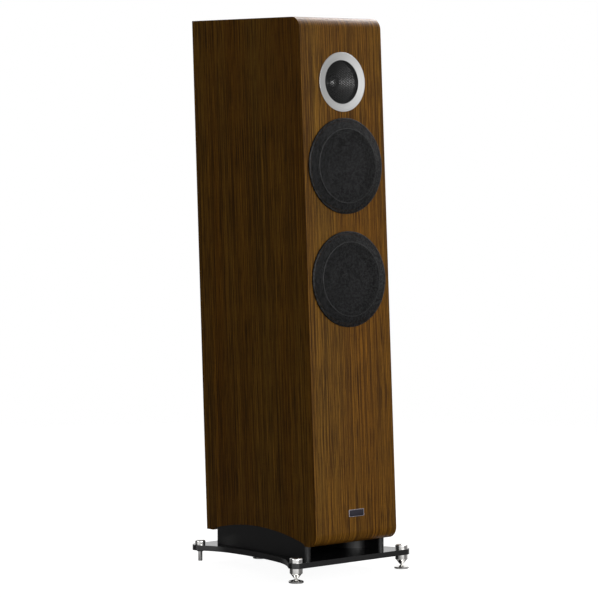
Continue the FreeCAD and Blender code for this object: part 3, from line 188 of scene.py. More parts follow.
def grain_place(finish):
    """Across and along the grain.

    On the sides it follows their leaning edge, and on the other faces it runs from bottom to top.
    """
    side_threshold, log_step = 0.7, 5.3
    normal = finish.add("NewGeometry", {}).outputs["Normal"]
    sideways = finish.dot(normal, ACROSS)
    on_side = finish.maths("GREATER_THAN", finish.maths("ABSOLUTE", sideways), side_threshold)
    on_face = finish.maths("SUBTRACT", 1.0, on_side)
    # each side starts from its own part of the log
    side_start = finish.maths("MULTIPLY", sideways, log_step)
    across_side = finish.maths("ADD", finish.along(FRONT), side_start)
    across = finish.maths(
        "ADD",
        finish.maths("MULTIPLY", finish.along(ACROSS), on_face),
        finish.maths("MULTIPLY", across_side, on_side),
    )
    along = finish.maths(
        "ADD",
        finish.maths("MULTIPLY", finish.along(BACKWARDS + UPRIGHT), on_face),
        finish.maths("MULTIPLY", finish.along(UP_FRONT), on_side),
    )
    return finish.add("CombineXYZ", {0: across, 1: along}).outputs[0]


def veneer():
    """Open-pored walnut under satin lacquer."""
    finish = Finish(
        "walnut_veneer", coat_weight=0.025, coat_roughness=0.26, specular_ior_level=0.08
    )
    grain = grain_place(finish)
    # slow waves bend every streak a little, as a log's rings wander
    farthest = 3.0 * MM
    wander = finish.noise(finish.stretched(grain, (3.0, 1.3, 1.0)), detail=2.0)
    sway = finish.add("CombineXYZ", {0: finish.remap(wander, 0.0, 1.0, -farthest, farthest)})
    grain = finish.add("VectorMath", {0: grain, 1: sway.outputs[0]}, operation="ADD").outputs[0]

    def streaks(across_rate, along_rate, detail, distortion=0.0):
        place = finish.stretched(grain, (across_rate, along_rate, 1.0))
        return finish.noise(place, detail=detail, roughness=0.6, distortion=distortion)

    broad = streaks(11.0, 0.55, 2.0, 0.3)
    bands = streaks(330.0, 0.9, 2.0, 0.1)
    fine = streaks(480.0, 1.8, 2.0)
    hair = streaks(900.0, 14.0, 2.0)
    dashes = finish.remap(streaks(560.0, 7.0, 1.0), 0.57, 0.66)
    pores = finish.remap(streaks(1500.0, 95.0, 1.0), 0.60, 0.70)
    pale = (0.248, 0.122, 0.0150)
    middle = (0.215, 0.083, 0.0055)
    dark = (0.034, 0.0120, 0.0008)
    pore_colour = (0.014, 0.005, 0.0004)
    colour = finish.blend(finish.remap(broad, 0.30, 0.70), middle, pale)
    # for each set of streaks, where it sets in, where it is full and how far it darkens the wood
    for streak, faint, full, depth in (
        (bands, 0.44, 0.62, 0.50),
        (fine, 0.44, 0.60, 0.80),
        (hair, 0.47, 0.62, 0.70),
    ):
        colour = finish.blend(finish.remap(streak, faint, full, 0.0, depth), colour, dark)
    for holes, depth in ((dashes, 0.80), (pores, 0.50)):
        colour = finish.blend(finish.maths("MULTIPLY", holes, depth), colour, pore_colour)
    sunken = finish.maths("ADD", dashes, finish.maths("MULTIPLY", pores, 0.8))
    height = finish.maths("SUBTRACT", finish.maths("MULTIPLY", fine, 0.5), sunken)
    finish.give(
        base_color=colour,
        roughness=finish.remap(bands, 0.3, 0.7, 0.40, 0.50),
        normal=finish.bump(height, depth=0.06 * MM, strength=0.35),
    )
    return finish


def fibreboard():
    finish = Finish("fibreboard", specular_ior_level=0.2)
    fine = finish.stretched(finish.place, (900, 900, 900))
    flecks = finish.noise(fine, detail=4.0, roughness=0.7)
    clouds = finish.noise(finish.place, scale=14.0)
    colour = finish.blend(flecks, (0.36, 0.24, 0.13), (0.58, 0.43, 0.27))
    colour = finish.blend(finish.remap(clouds, 0.3, 0.7, 0.0, 0.35), colour, (0.30, 0.19, 0.10))
    finish.give(
        base_color=colour,
        roughness=0.85,
        normal=finish.bump(flecks, depth=0.2 * MM, strength=0.4),
    )
    return finish


def coating(name, shade, tint, roughness, grain, relief, gloss=0.5, spread=0.2):
    """A thin painted or powdered film: fine grain, faint clouds and slightly uneven sheen."""
    finish = Finish(name, specular_ior_level=gloss)
    speckle = finish.noise(finish.place, scale=grain, roughness=0.65)
    clouds = finish.noise(finish.place, scale=9.0, roughness=0.55)
    colour = finish.blend(finish.remap(speckle, 0.5 - spread, 0.5 + spread), shade, tint)
    finish.give(
        base_color=colour,
        roughness=finish.remap(clouds, 0.3, 0.7, roughness - 0.05, roughness + 0.06),
        normal=finish.bump(speckle, depth=relief, strength=0.5),
    )
    return finish


def polished_chrome():
    finish = Finish("polished_chrome", metallic=1.0)
    drawn_out = finish.stretched(finish.place, (60, 60, 25))
    smears = finish.noise(drawn_out, detail=4.0, roughness=0.6, distortion=0.5)
    scratches = finish.noise(finish.stretched(finish.place, (150, 150, 5200)), detail=2.0)
    colour = finish.blend(smears, (0.86, 0.85, 0.83), (0.94, 0.93, 0.91))
    finish.give(
        base_color=colour,
        roughness=finish.remap(smears, 0.35, 0.75, 0.045, 0.12),
        normal=finish.bump(scratches, depth=0.012 * MM, strength=0.35),
    )
    return finish


def turned_metal(name, patch, shade, tint, roughness, rate, relief):
    """Metal turned on a lathe: fine rings about its axis with slow changes round it."""
    finish = Finish(name, metallic=1.0)
    radius, angle = polar(finish, patch)
    inputs = {0: finish.maths("MULTIPLY", radius, rate), 1: finish.maths("MULTIPLY", angle, 0.8)}
    rings = finish.noise(finish.add("CombineXYZ", inputs).outputs[0], roughness=0.6)
    speckle = finish.noise(finish.place, scale=1800.0, detail=2.0, roughness=0.6)
    colour = finish.blend(finish.remap(rings, 0.3, 0.7), shade, tint)
    height = finish.maths("ADD", rings, finish.maths("MULTIPLY", speckle, 0.8))
    finish.give(
        base_color=colour,
        roughness=finish.remap(rings, 0.3, 0.7, roughness - 0.04, roughness + 0.05),
        normal=finish.bump(height, depth=relief, strength=0.5),
    )
    return finish


def cast_iron_and_steel():
    finish = Finish("magnet_and_plates", metallic=0.75)
    clouds = finish.noise(finish.place, scale=45.0, detail=5.0, roughness=0.6)
    speckle = finish.noise(finish.place, scale=900.0, roughness=0.6)
    iron, zinc = (0.07, 0.07, 0.075), (0.16, 0.16, 0.155)
    colour = finish.blend(finish.remap(clouds, 0.35, 0.65), iron, zinc)
    finish.give(
        base_color=colour,
        roughness=finish.remap(clouds, 0.3, 0.7, 0.42, 0.62),
        normal=finish.bump(speckle, depth=0.08 * MM, strength=0.5),
    )
    return finish


def woven_cone(name, patch):
    """A cone moulded from woven cloth: two crossed sets of threads under dark resin."""
    finish = Finish(name, specular_ior_level=0.45, coat_weight=0.12, coat_roughness=0.35)
    thread_pitch = 1.6 * MM
    threads = []
    for axis in patch.axes[:2]:
        turns = finish.maths("MULTIPLY", finish.along(axis), 2 * math.pi / thread_pitch)
        threads.append(finish.maths("SINE", turns))
    weave = finish.maths("MULTIPLY", *threads)
    wear = finish.noise(finish.place, scale=60.0)
    resin, fibre = (0.018, 0.018, 0.021), (0.060, 0.060, 0.066)
    colour = finish.blend(finish.remap(weave, -0.6, 0.6), resin, fibre)
    finish.give(
        base_color=colour,
        roughness=finish.remap(wear, 0.3, 0.7, 0.42, 0.56),
        normal=finish.bump(weave, depth=0.12 * MM, strength=0.6),
    )
    return finish


def rubber():
    finish = Finish("surround_rubber", specular_ior_level=0.35, sheen_weight=0.08)
    skin = finish.noise(finish.place, scale=1300.0, roughness=0.6)
    bloom = finish.noise(finish.place, scale=32.0, roughness=0.6)
    fresh, dusty = (0.013, 0.013, 0.014), (0.034, 0.034, 0.035)
    colour = finish.blend(finish.remap(bloom, 0.35, 0.75), fresh, dusty)
    finish.give(
        base_color=colour,
        roughness=finish.remap(bloom, 0.3, 0.7, 0.5, 0.66),
        normal=finish.bump(skin, depth=0.05 * MM, strength=0.4),
    )
    return finish


def treated_cloth():
    finish = Finish("treated_cloth", specular_ior_level=0.14)
    thread_rate = 5200.0
    warp = finish.maths("SINE", finish.maths("MULTIPLY", finish.along(ACROSS), thread_rate))
    weft = finish.maths("SINE", finish.maths("MULTIPLY", finish.along(UP_FRONT), thread_rate))
    weave = finish.maths("MULTIPLY", warp, weft)
    stain = finish.noise(finish.place, scale=25.0, detail=4.0)
    colour = finish.blend(finish.remap(stain, 0.3, 0.7), (0.42, 0.26, 0.07), (0.60, 0.42, 0.15))
    colour = finish.blend(finish.remap(weave, -0.5, 0.9, 0.0, 0.5), colour, (0.20, 0.11, 0.03))
    finish.give(
        base_color=colour,
        roughness=0.75,
        normal=finish.bump(weave, depth=0.2 * MM, strength=0.6),
    )
    return finish


def plated_brass():
    finish = Finish("plated_brass", metallic=1.0)
    smears = finish.noise(finish.place, scale=110.0, detail=4.0, roughness=0.6)
    lines = finish.noise(finish.stretched(finish.place, (400, 3500, 400)), detail=2.0)
    colour = finish.blend(smears, (0.66, 0.43, 0.13), (0.86, 0.62, 0.26))
    finish.give(
        base_color=colour,
        roughness=finish.remap(smears, 0.3, 0.7, 0.12, 0.26),
        normal=finish.bump(lines, depth=0.01 * MM, strength=0.4),
    )
    return finish


def post_cap_finish(name, patch, ring_colour):
    """Pale plating with one painted ring that marks the pole."""
    finish = Finish(name, metallic=1.0)
    smears = finish.noise(finish.place, scale=120.0, detail=4.0, roughness=0.6)
    outwards = patch.axes[2]
    level = finish.maths("SUBTRACT", finish.along(outwards), float(patch.origin @ outwards))
    ring_start, ring_end = 0.60 * patch.size[2], 0.72 * patch.size[2]
    past_start = finish.maths("GREATER_THAN", level, ring_start)
    before_end = finish.maths("LESS_THAN", level, ring_end)
    painted = finish.maths("MULTIPLY", past_start, before_end)
    metal = finish.blend(smears, (0.56, 0.54, 0.52), (0.74, 0.72, 0.69))
    finish.give(
        base_color=finish.blend(painted, metal, ring_colour),
        metallic=finish.maths("SUBTRACT", 1.0, painted),
        roughness=finish.remap(smears, 0.3, 0.7, 0.16, 0.30),
    )
    return finish


def board_finish(box):
    """Green laminate: a fine glass weave and wide copper tracks under the mask."""
    finish = Finish("board_laminate", coat_weight=0.3, coat_roughness=0.25)
    size = box[1] - box[0]
    tracks = finish.cell_edges(finish.stretched(finish.place, (9, 60, 38)))
    lines = finish.remap(tracks, 0.05, 0.09, 1.0, 0.0)
    weave = finish.noise(finish.place, scale=40.0 / max(size))
    colour = finish.blend(weave, (0.012, 0.075, 0.030), (0.022, 0.110, 0.045))
    colour = finish.blend(finish.maths("MULTIPLY", lines, 0.7), colour, (0.060, 0.210, 0.080))
    finish.give(
        base_color=colour,
        roughness=0.4,
        normal=finish.bump(lines, depth=0.06 * MM, strength=0.5),
    )
    return finish


def wound_wire(name, shade, tint, direction, pitch, metallic):
    """Turns of wire or a braid: fine ridges stacked along a direction."""
    finish = Finish(name, metallic=metallic)
    angle = finish.maths("MULTIPLY", finish.along(direction), 2 * math.pi / pitch)
    turns = finish.maths("SINE", angle)
    wear = finish.noise(finish.place, scale=70.0, detail=4.0)
    # each turn is lighter on its crest and darker in the groove between turns: painted shade in the
    # grooves
    colour = finish.blend(finish.remap(turns, -0.8, 0.6), shade, tint)
    colour = finish.blend(finish.remap(wear, 0.45, 0.75, 0.0, 0.4), colour, shade)
    finish.give(
        base_color=colour,
        roughness=finish.remap(wear, 0.3, 0.7, 0.28, 0.45),
        normal=finish.bump(turns, depth=pitch * 0.3, strength=0.8),
    )
    return finish


def film_wrap():
    finish = Finish("film_wrap", coat_weight=0.4, coat_roughness=0.15)
    clouds = finish.noise(finish.place, scale=50.0)
    wraps = finish.noise(finish.stretched(finish.place, (25, 900, 25)), detail=2.0)
    colour = finish.blend(clouds, (0.55, 0.42, 0.10), (0.72, 0.58, 0.20))
    finish.give(
        base_color=colour,
        roughness=0.35,
        normal=finish.bump(wraps, depth=0.04 * MM, strength=0.4),
    )
    return finish


def wool_felt():
    finish = Finish("wool_felt", specular_ior_level=0.1, sheen_weight=0.5, sheen_roughness=0.6)
    strands = finish.noise(finish.place, scale=420.0, detail=6.0, roughness=0.75, distortion=1.2)
    clumps = finish.noise(finish.place, scale=30.0, detail=4.0, roughness=0.6)
    colour = finish.blend(strands, (0.085, 0.085, 0.090), (0.24, 0.24, 0.25))
    colour = finish.blend(finish.remap(clumps, 0.35, 0.7, 0.0, 0.4), colour, (0.13, 0.12, 0.12))
    finish.give(
        base_color=colour,
        roughness=0.95,
        normal=finish.bump(strands, depth=0.8 * MM, strength=0.7),
    )
    return finish


# ---------------------------------------------------------------- dressing the CAD nodes

def paint(finish, *names):
    for name in names:
        materials = NODES[name].data.materials
        materials.clear()
        materials.append(finish.material)


def paint_cabinet():
    panels = ("front_baffle", "side_panel_left", "side_panel_right", "top_panel", "rear_panel")
    paint(veneer(), *panels)
    paint(fibreboard(), "mid_chamber_divider", "window_braces")
    ink, coal = (0.0040, 0.0040, 0.0040), (0.0080, 0.0080, 0.0085)
    satin = coating("black_satin", ink, coal, roughness=0.36, grain=900.0, relief=0.012 * MM)
    paint(satin, "bottom_panel", "port_duct", "port_wall_left", "port_wall_right")
    lacquer = coating(
        "black_lacquer", ink, coal, roughness=0.17, grain=900.0, relief=0.004 * MM, gloss=0.85
    )
    paint(lacquer, "base_plate")


def paint_metalwork():
    chrome = polished_chrome()
    for foot in FEET:
        paint(chrome, foot + "_spike", foot + "_spike_cup", foot + "_lock_knob")
    paint(chrome, "left_stabiliser_bolt", "right_stabiliser_bolt")
    dull, rubbed = (0.05, 0.05, 0.052), (0.12, 0.12, 0.125)
    oxide = coating("black_oxide", dull, rubbed, roughness=0.38, grain=1100.0, relief=0.04 * MM)
    oxide.give(metallic=0.9)
    paint(oxide, "base_fasteners", "mounting_screws")


def paint_drivers():
    ink, grey = (0.016, 0.016, 0.017), (0.040, 0.040, 0.042)
    cast = coating("cast_black", ink, grey, roughness=0.52, grain=700.0, relief=0.15 * MM)
    iron = cast_iron_and_steel()
    cloth = treated_cloth()
    skin = rubber()
    for woofer in WOOFERS:
        patch = patch_on(woofer + "_woofer_cone", FRONT)
        paint(woven_cone(woofer + "_cone_weave", patch), woofer + "_woofer_cone")
        paint(skin, woofer + "_woofer_surround")
        paint(cloth, woofer + "_woofer_spider")
        paint(cast, woofer + "_woofer_basket")
        paint(iron, woofer + "_woofer_motor")
    paint(skin, "mid_surround")
    paint(cast, "coax_chassis")
    paint_coaxial_metal()


def paint_coaxial_metal():
    patch = patch_on("coax_trim_ring", FRONT)
    shade, tint = (0.46, 0.46, 0.46), (0.56, 0.56, 0.55)
    ring = turned_metal(
        "blasted_ring", patch, shade, tint, roughness=0.32, rate=900.0, relief=0.02 * MM
    )
    paint(ring, "coax_trim_ring")
    shade, tint = (0.10, 0.10, 0.10), (0.15, 0.15, 0.148)
    cone = turned_metal(
        "spun_cone", patch, shade, tint, roughness=0.22, rate=2400.0, relief=0.015 * MM
    )
    paint(cone, "mid_cone")
    shade, tint = (0.16, 0.16, 0.16), (0.24, 0.24, 0.235)
    dome = turned_metal(
        "dome_metal", patch, shade, tint, roughness=0.22, rate=2400.0, relief=0.01 * MM
    )
    paint(dome, "tweeter_dome")


def paint_terminals():
    shade, tint = (0.012, 0.012, 0.013), (0.026, 0.026, 0.028)
    anodised = coating(
        "black_anodised", shade, tint, roughness=0.36, grain=1200.0, relief=0.03 * MM
    )
    paint(anodised, "terminal_plate")
    gold = plated_brass()
    paint(gold, "terminal_posts", "jumper_links", *[post + "_post_washer" for post in POSTS])
    red, black = (0.35, 0.01, 0.008), (0.006, 0.006, 0.006)
    for post in POSTS:
        patch = patch_on(post + "_post_cap", REAR)
        ring_colour = red if post.endswith("right") else black
        paint(post_cap_finish(post + "_cap_finish", patch, ring_colour), post + "_post_cap")


def paint_crossover():
    paint(board_finish(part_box("crossover_board")), "crossover_board")
    shade, tint = (0.30, 0.10, 0.035), (0.66, 0.27, 0.11)
    copper = wound_wire("copper_wire", shade, tint, BACKWARDS, pitch=1.4 * MM, metallic=1.0)
    paint(copper, "crossover_coils")
    paint(film_wrap(), "crossover_capacitors")
    shade, tint = (0.010, 0.010, 0.010), (0.040, 0.040, 0.042)
    sleeve = wound_wire("braided_sleeve", shade, tint, UPRIGHT, pitch=1.1 * MM, metallic=0.0)
    paint(sleeve, "internal_cables")


# ---------------------------------------------------------------- building pieces

def new_piece(name, corners, faces, finish, slot, body, sharp=35.0):
    mesh = bpy.data.meshes.new(name)
    mesh.from_pydata([tuple(c) for c in corners], [], faces)
    mesh.validate()
    mesh.shade_smooth()
    mesh.set_sharp_from_angle(angle=math.radians(sharp))
    mesh.materials.append(finish.material)
    piece = bpy.data.objects.new(name, mesh)
    bpy.context.scene.collection.objects.link(piece)
    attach(piece, body)
    return piece


def onto(patch, places):
    """Points given across, up and out of a face, as points of the room."""
    return np.asarray(places) @ patch.axes + patch.origin


def lathe(profile, patch, segments=240):
    """A ring whose closed cross-section is given as (radius, height) points."""
    angles = np.arange(segments) * 2 * math.pi / segments
    radii, heights = np.array(profile).T
    count = len(profile)
    places = np.empty((segments, count, 3))
    places[:, :, 0] = np.outer(np.cos(angles), radii)
    places[:, :, 1] = np.outer(np.sin(angles), radii)
    places[:, :, 2] = heights
    faces = []
    for turn in range(segments):
        here, there = turn * count, (turn + 1) % segments * count
        for step in range(count):
            following = (step + 1) % count
            faces.append((here + step, there + step, there + following, here + following))
    return onto(patch, places.reshape(-1, 3)), faces


def perforated_disc(radius, pitch, hole_radius, height_at):
    """A sheet of hexagonal cells with a round hole in each, trimmed to a circle."""
    # columns stand at a hexagon's spacing, each half a pitch higher, so the grid reaches well out
    column_spacing, overreach = math.sqrt(0.75), 1.3
    reach = int(radius / pitch * overreach) + 2
    steps = np.arange(-reach, reach + 1)
    along, up = np.meshgrid(steps, steps)
    centres = np.stack([along * pitch * column_spacing, (up + along / 2) * pitch], -1)
    centres = centres.reshape(-1, 2)
    centres = centres[np.hypot(*centres.T) < radius + pitch / 2]

    def ring(count, turn, size):
        angles = turn + np.arange(count) * 2 * math.pi / count
        return size * np.stack([np.cos(angles), np.sin(angles)], -1)

    hexagons = centres[:, None] + ring(6, 0.0, pitch / math.sqrt(3))
    rounds = centres[:, None] + ring(HOLE_SIDES, math.pi / HOLE_SIDES - math.pi / 6, hole_radius)
    same_corner = pitch * 0.01
    keys = np.round(hexagons.reshape(-1, 2) / same_corner).astype(int)
    _, first, shared = np.unique(keys, axis=0, return_index=True, return_inverse=True)
    shared = shared.reshape(-1, 6)
    flat = np.concatenate([hexagons.reshape(-1, 2)[first], rounds.reshape(-1, 2)])
    distance = np.hypot(*flat.T)
    outside = distance > radius
    flat[outside] *= (radius / distance[outside])[:, None]
    faces = []
    for cell in range(len(centres)):
        hole = len(first) + cell * HOLE_SIDES
        for side in range(6):
            here, there = int(shared[cell, side]), int(shared[cell, (side + 1) % 6])
            a, b, c = (hole + (2 * side + n) % HOLE_SIDES for n in (0, 1, 2))
            faces.append((here, there, c, b))
            faces.append((here, b, a))
    faces = [face for face in faces if not outside[list(face)].all()]
    used = np.unique([corner for face in faces for corner in face])
    renumber = {int(old): new for new, old in enumerate(used)}
    faces = [tuple(renumber[corner] for corner in face) for face in faces]
    flat = flat[used]
    return np.column_stack([flat, height_at(np.hypot(*flat.T))]), faces


def thicken(piece, thickness):
    solid = piece.modifiers.new("thickness", "SOLIDIFY")
    solid.thickness = thickness
    solid.offset = -1.0


def build_grille(woofer, paint_black, crease_highlight_paint):
    """A pressed dish of perforated sheet with a plain rim, held on by magnets."""
    node = woofer + "_grille"
    patch = patch_on(node, FRONT)
    radii, heights = surface_profile(node, patch)
    outer, top = patch.size[0] / 2, patch.size[2]
    # the flat face ends where the sheet starts to fall, and the shoulder is its height at the rim
    face = radii[heights > top - 0.1 * MM].max()
    shoulder = heights[radii > outer - 0.3 * MM].max()
    slope = (top - shoulder) / (outer - face)
    rim_width, rim_wall, rim_lip = 3.2 * MM, 1.4 * MM, 1.2 * MM
    pitch, hole_radius, sheet, sunken = 2.1 * MM, 0.72 * MM, 0.9 * MM, 0.15 * MM
    fold, fold_depth = 0.5 * MM, 0.6 * MM

    def height_at(radius):
        return np.where(radius < face, top, top - (radius - face) * slope) - sunken

    sheet_radius = outer - rim_width * 0.6
    places, faces = perforated_disc(sheet_radius, pitch, hole_radius, height_at)
    corners = onto(patch, places)
    dish = new_piece(node + "_dish", corners, faces, paint_black, "grille_metal", node, sharp=12.0)
    thicken(dish, sheet)
    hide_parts(node)
    inner = outer - rim_width
    inner_height = shoulder + rim_width * slope
    rim = [
        (outer, 0.0),
        (outer, shoulder - 0.8 * MM),
        (outer - 0.25 * MM, shoulder - 0.25 * MM),
        (outer - 0.9 * MM, shoulder + 0.1 * MM),
        (inner, inner_height),
        (inner, inner_height - rim_lip),
        (outer - rim_wall, shoulder - rim_lip),
        (outer - rim_wall, 0.0),
    ]
    new_piece(node + "_rim", *lathe(rim, patch), paint_black, "grille_metal", node)
    # a thin ring along the fold; its own paint draws a faint painted highlight line there
    crease = [
        (face + fold, top - fold * slope),
        (face, top),
        (face - fold, top),
        (face - fold, top - fold_depth),
        (face + fold, top - fold_depth - fold * slope),
    ]
    new_piece(node + "_crease", *lathe(crease, patch), crease_highlight_paint, "grille_metal", node, sharp=8.0)


def build_guard(paint_black):
    """The perforated guard in front of the midrange and the tweeter."""
    node = "coax_mesh"
    patch = patch_on(node, FRONT)
    radius, top = patch.size[0] / 2, patch.size[2]
    pitch, hole_radius, sheet, crown = 5.2 * MM, 1.92 * MM, 0.7 * MM, 0.1 * MM
    inner = radius - 0.8 * MM

    def height_at(distance):
        return top - crown * (distance / radius) ** 2

    places, faces = perforated_disc(radius, pitch, hole_radius, height_at)
    corners = onto(patch, places)
    guard = new_piece("coax_guard", corners, faces, paint_black, "mesh_metal", "cabinet", sharp=20.0)
    thicken(guard, sheet)
    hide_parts(node)
    edge = [(radius, 0.0), (radius, top), (inner, top), (inner, 0.0)]
    new_piece("coax_guard_edge", *lathe(edge, patch), paint_black, "mesh_metal", "cabinet")


def rounded_rectangle(width, height, radius, steps=8):
    points = []
    for quarter in range(4):
        side = 1 if quarter in (0, 3) else -1
        level = 1 if quarter < 2 else -1
        middle_x = side * (width / 2 - radius)
        middle_y = level * (height / 2 - radius)
        for step in range(steps + 1):
            angle = (quarter + step / steps) * math.pi / 2
            x = middle_x + radius * math.cos(angle)
            y = middle_y + radius * math.sin(angle)
            points.append((x, y))
    return points


def build_plaque(name, patch, loops, finish):
    """Rounded rectangles laid one in another, each with its own height, closed at both ends."""
    width, height = patch.size[:2]
    outer_corner, smallest_corner = 1.6 * MM, 0.5 * MM
    outlines = []
    for inset, level in loops:
        corner = max(outer_corner - inset, smallest_corner)
        outline = rounded_rectangle(width - 2 * inset, height - 2 * inset, corner)
        outlines.append([(x, y, level) for x, y in outline])
    count = len(outlines[0])
    places = [point for outline in outlines for point in outline]
    faces = [tuple(reversed(range(count)))]
    for loop in range(len(loops) - 1):
        for point in range(count):
            following = (point + 1) % count
            here, there = loop * count, (loop + 1) * count
            faces.append((here + point, here + following, there + following, there + point))
    faces.append(tuple((len(loops) - 1) * count + point for point in range(count)))
    corners = onto(patch, places)
    return new_piece(name, corners, faces, finish, "badge_metal", "cabinet", sharp=30.0)


def build_badge():
    """A dark plate in a bright frame. It carries no lettering.

    Each loop is an inset from the badge's outline and a height.
    """
    patch = patch_on("badge", FRONT)
    top = patch.size[2]
    shade, tint = (0.40, 0.38, 0.42), (0.56, 0.54, 0.58)
    bright = turned_metal(
        "badge_frame", patch, shade, tint, roughness=0.22, rate=300.0, relief=0.01 * MM
    )
    frame_loops = [
        (0.0, 0.0),
        (0.0, top - 0.4 * MM),
        (0.15 * MM, top - 0.1 * MM),
        (0.4 * MM, top),
        (0.9 * MM, top),
        (1.05 * MM, top - 0.1 * MM),
        (1.15 * MM, top - 0.5 * MM),
    ]
    badge = build_plaque("badge_frame", patch, frame_loops, bright)
    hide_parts("badge")
    dark = Finish("badge_field", metallic=0.9)
    lines = dark.noise(dark.stretched(dark.place, (60, 3200, 3200)))
    dark.give(
        base_color=dark.blend(lines, (0.020, 0.018, 0.024), (0.060, 0.056, 0.070)),
        roughness=dark.remap(lines, 0.3, 0.7, 0.28, 0.42),
        normal=dark.bump(lines, depth=0.02 * MM, strength=0.4),
    )
    field_loops = [
        (1.2 * MM, top - 0.6 * MM),
        (1.2 * MM, top - 0.25 * MM),
        (1.5 * MM, top - 0.2 * MM),
    ]
    build_plaque("badge_field", patch, field_loops, dark)


def build_felt():
    """Loose wool pads: the CAD blocks remeshed, drawn in a little and made lumpy."""
    shrink = 1.6 * MM
    # broad and small lumps: how closely they follow each other, and how high they are
    lump_kinds = ((22.0, 1.0 * MM), (85.0, 0.4 * MM))
    pads = bpy.data.objects.new("felt_source", NODES["damping_felt"].data.copy())
    bpy.context.scene.collection.objects.link(pads)
    remesh = pads.modifiers.new("voxels", "REMESH")
    remesh.mode = "VOXEL"
    remesh.voxel_size = 6.0 * MM
    evaluated = pads.evaluated_get(bpy.context.evaluated_depsgraph_get())
    mesh = bpy.data.meshes.new_from_object(evaluated)
    bpy.data.objects.remove(pads)
    normals = [vertex.normal.copy() for vertex in mesh.vertices]
    for vertex, normal in zip(mesh.vertices, normals):
        lumps = sum(noise.noise(vertex.co * rate) * height for rate, height in lump_kinds)
        vertex.co -= normal * (shrink - lumps)
    mesh.shade_smooth()
    mesh.materials.clear()
    mesh.materials.append(wool_felt().material)
    felt = bpy.data.objects.new("felt_pads", mesh)
    bpy.context.scene.collection.objects.link(felt)
    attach(felt, "cabinet")
    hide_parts("damping_felt")


def build_pieces():
    soot, slate = (0.0002, 0.0002, 0.0002), (0.0190, 0.0193, 0.0200)
    grille_paint = coating(
        "grille_paint",
        soot,
        slate,
        roughness=0.42,
        grain=200.0,
        relief=0.06 * MM,
        gloss=0.13,
        spread=0.05,
    )
    # paint for the crease rings: a faint painted highlight line along each grille's fold
    shade, tint = (0.003, 0.003, 0.003), (0.013, 0.0132, 0.0136)
    crease_highlight = coating("grille_edge", shade, tint, roughness=0.46, grain=300.0, relief=0.04 * MM)
    for woofer in WOOFERS:
        build_grille(woofer, grille_paint, crease_highlight)
    shade, tint = (0.006, 0.006, 0.006), (0.016, 0.016, 0.016)
    guard_paint = coating(
        "guard_paint", shade, tint, roughness=0.42, grain=1700.0, relief=0.03 * MM, gloss=0.1
    )
    build_guard(guard_paint)
    build_badge()
    build_felt()


# ---------------------------------------------------------------- studio

# the camera sees the front mirror this direction, and the side its opposite
MIRRORED = Vector((0.64, -0.77, 0.0))
# how nearly a ray runs that way where the bright studio starts to fade, and where it has gone
MIRROR_FADE = (0.70, 0.88)


def build_floor():
    """A pale round floor that fades into the white surround."""
    radius, rings, turns = 9.0, 12, 96
    fade_start, fade_end, base_reach = 0.9, 3.0, 0.26
    seen_glow, mirrored_glow = 0.95, 0.75
    corners = [(0.0, 0.0, 0.0)]
    for ring in range(1, rings + 1):
        reach = radius * (ring / rings) ** 2
        for turn in range(turns):
            angle = 2 * math.pi * turn / turns
            corners.append((reach * math.cos(angle), reach * math.sin(angle), 0.0))
    faces = [(0, 1 + turn, 1 + (turn + 1) % turns) for turn in range(turns)]
    for ring in range(rings - 1):
        for turn in range(turns):
            here, following = 1 + ring * turns, (turn + 1) % turns
            there = here + turns
            faces.append((here + turn, there + turn, there + following, here + following))
    mesh = bpy.data.meshes.new("floor")
    mesh.from_pydata(corners, [], faces)
    finish = Finish("floor", specular_ior_level=0.1, roughness=0.7)
    clouds = finish.noise(finish.place, scale=3.0)
    rays = finish.add("LightPath", {}).outputs
    seen = rays["Is Camera Ray"]
    length = finish.add("VectorMath", {0: finish.place}, operation="LENGTH").outputs["Value"]
    # reflections see a bright floor too, apart from the directions that the big flat faces mirror
    arriving = finish.add("NewGeometry", {}).outputs["Incoming"]
    facing = finish.maths("ABSOLUTE", finish.dot(arriving, MIRRORED))
    open_side = finish.remap(facing, *MIRROR_FADE, mirrored_glow, 0.0)
    mirrored = finish.maths("MULTIPLY", rays["Is Glossy Ray"], open_side)
    # only low glances find the bright floor, and the steep ones see the speaker's own shade
    steepness = finish.maths("ABSOLUTE", finish.dot(arriving, UPRIGHT))
    mirrored = finish.maths("MULTIPLY", mirrored, finish.remap(steepness, 0.12, 0.36, 1.0, 0.08))
    # the floor right under the base stays dim
    away = finish.remap(length, base_reach, base_reach + 0.20, 0.15, 1.0)
    mirrored = finish.maths("MULTIPLY", mirrored, away)
    finish.give(
        base_color=finish.blend(clouds, (0.11, 0.11, 0.11), (0.13, 0.13, 0.13)),
        emission_color=(1.0, 1.0, 1.0),
        emission_strength=finish.maths("ADD", finish.maths("MULTIPLY", seen, seen_glow), mirrored),
        alpha=finish.remap(length, fade_start, fade_end, 1.0, 0.0),
    )
    mesh.materials.append(finish.material)
    floor = bpy.data.objects.new("floor", mesh)
    bpy.context.scene.collection.objects.link(floor)


def add_softbox(name, place, target, size, power, tint=(1.0, 1.0, 1.0)):
    light = bpy.data.lights.new(name, "AREA")
    light.shape = "RECTANGLE"
    light.size, light.size_y = size
    light.energy = power
    light.color = tint
    lamp = bpy.data.objects.new(name, light)
    lamp.location = place
    lamp.rotation_euler = (Vector(target) - Vector(place)).to_track_quat("-Z", "Y").to_euler()
    lamp.visible_camera = False
    bpy.context.scene.collection.objects.link(lamp)


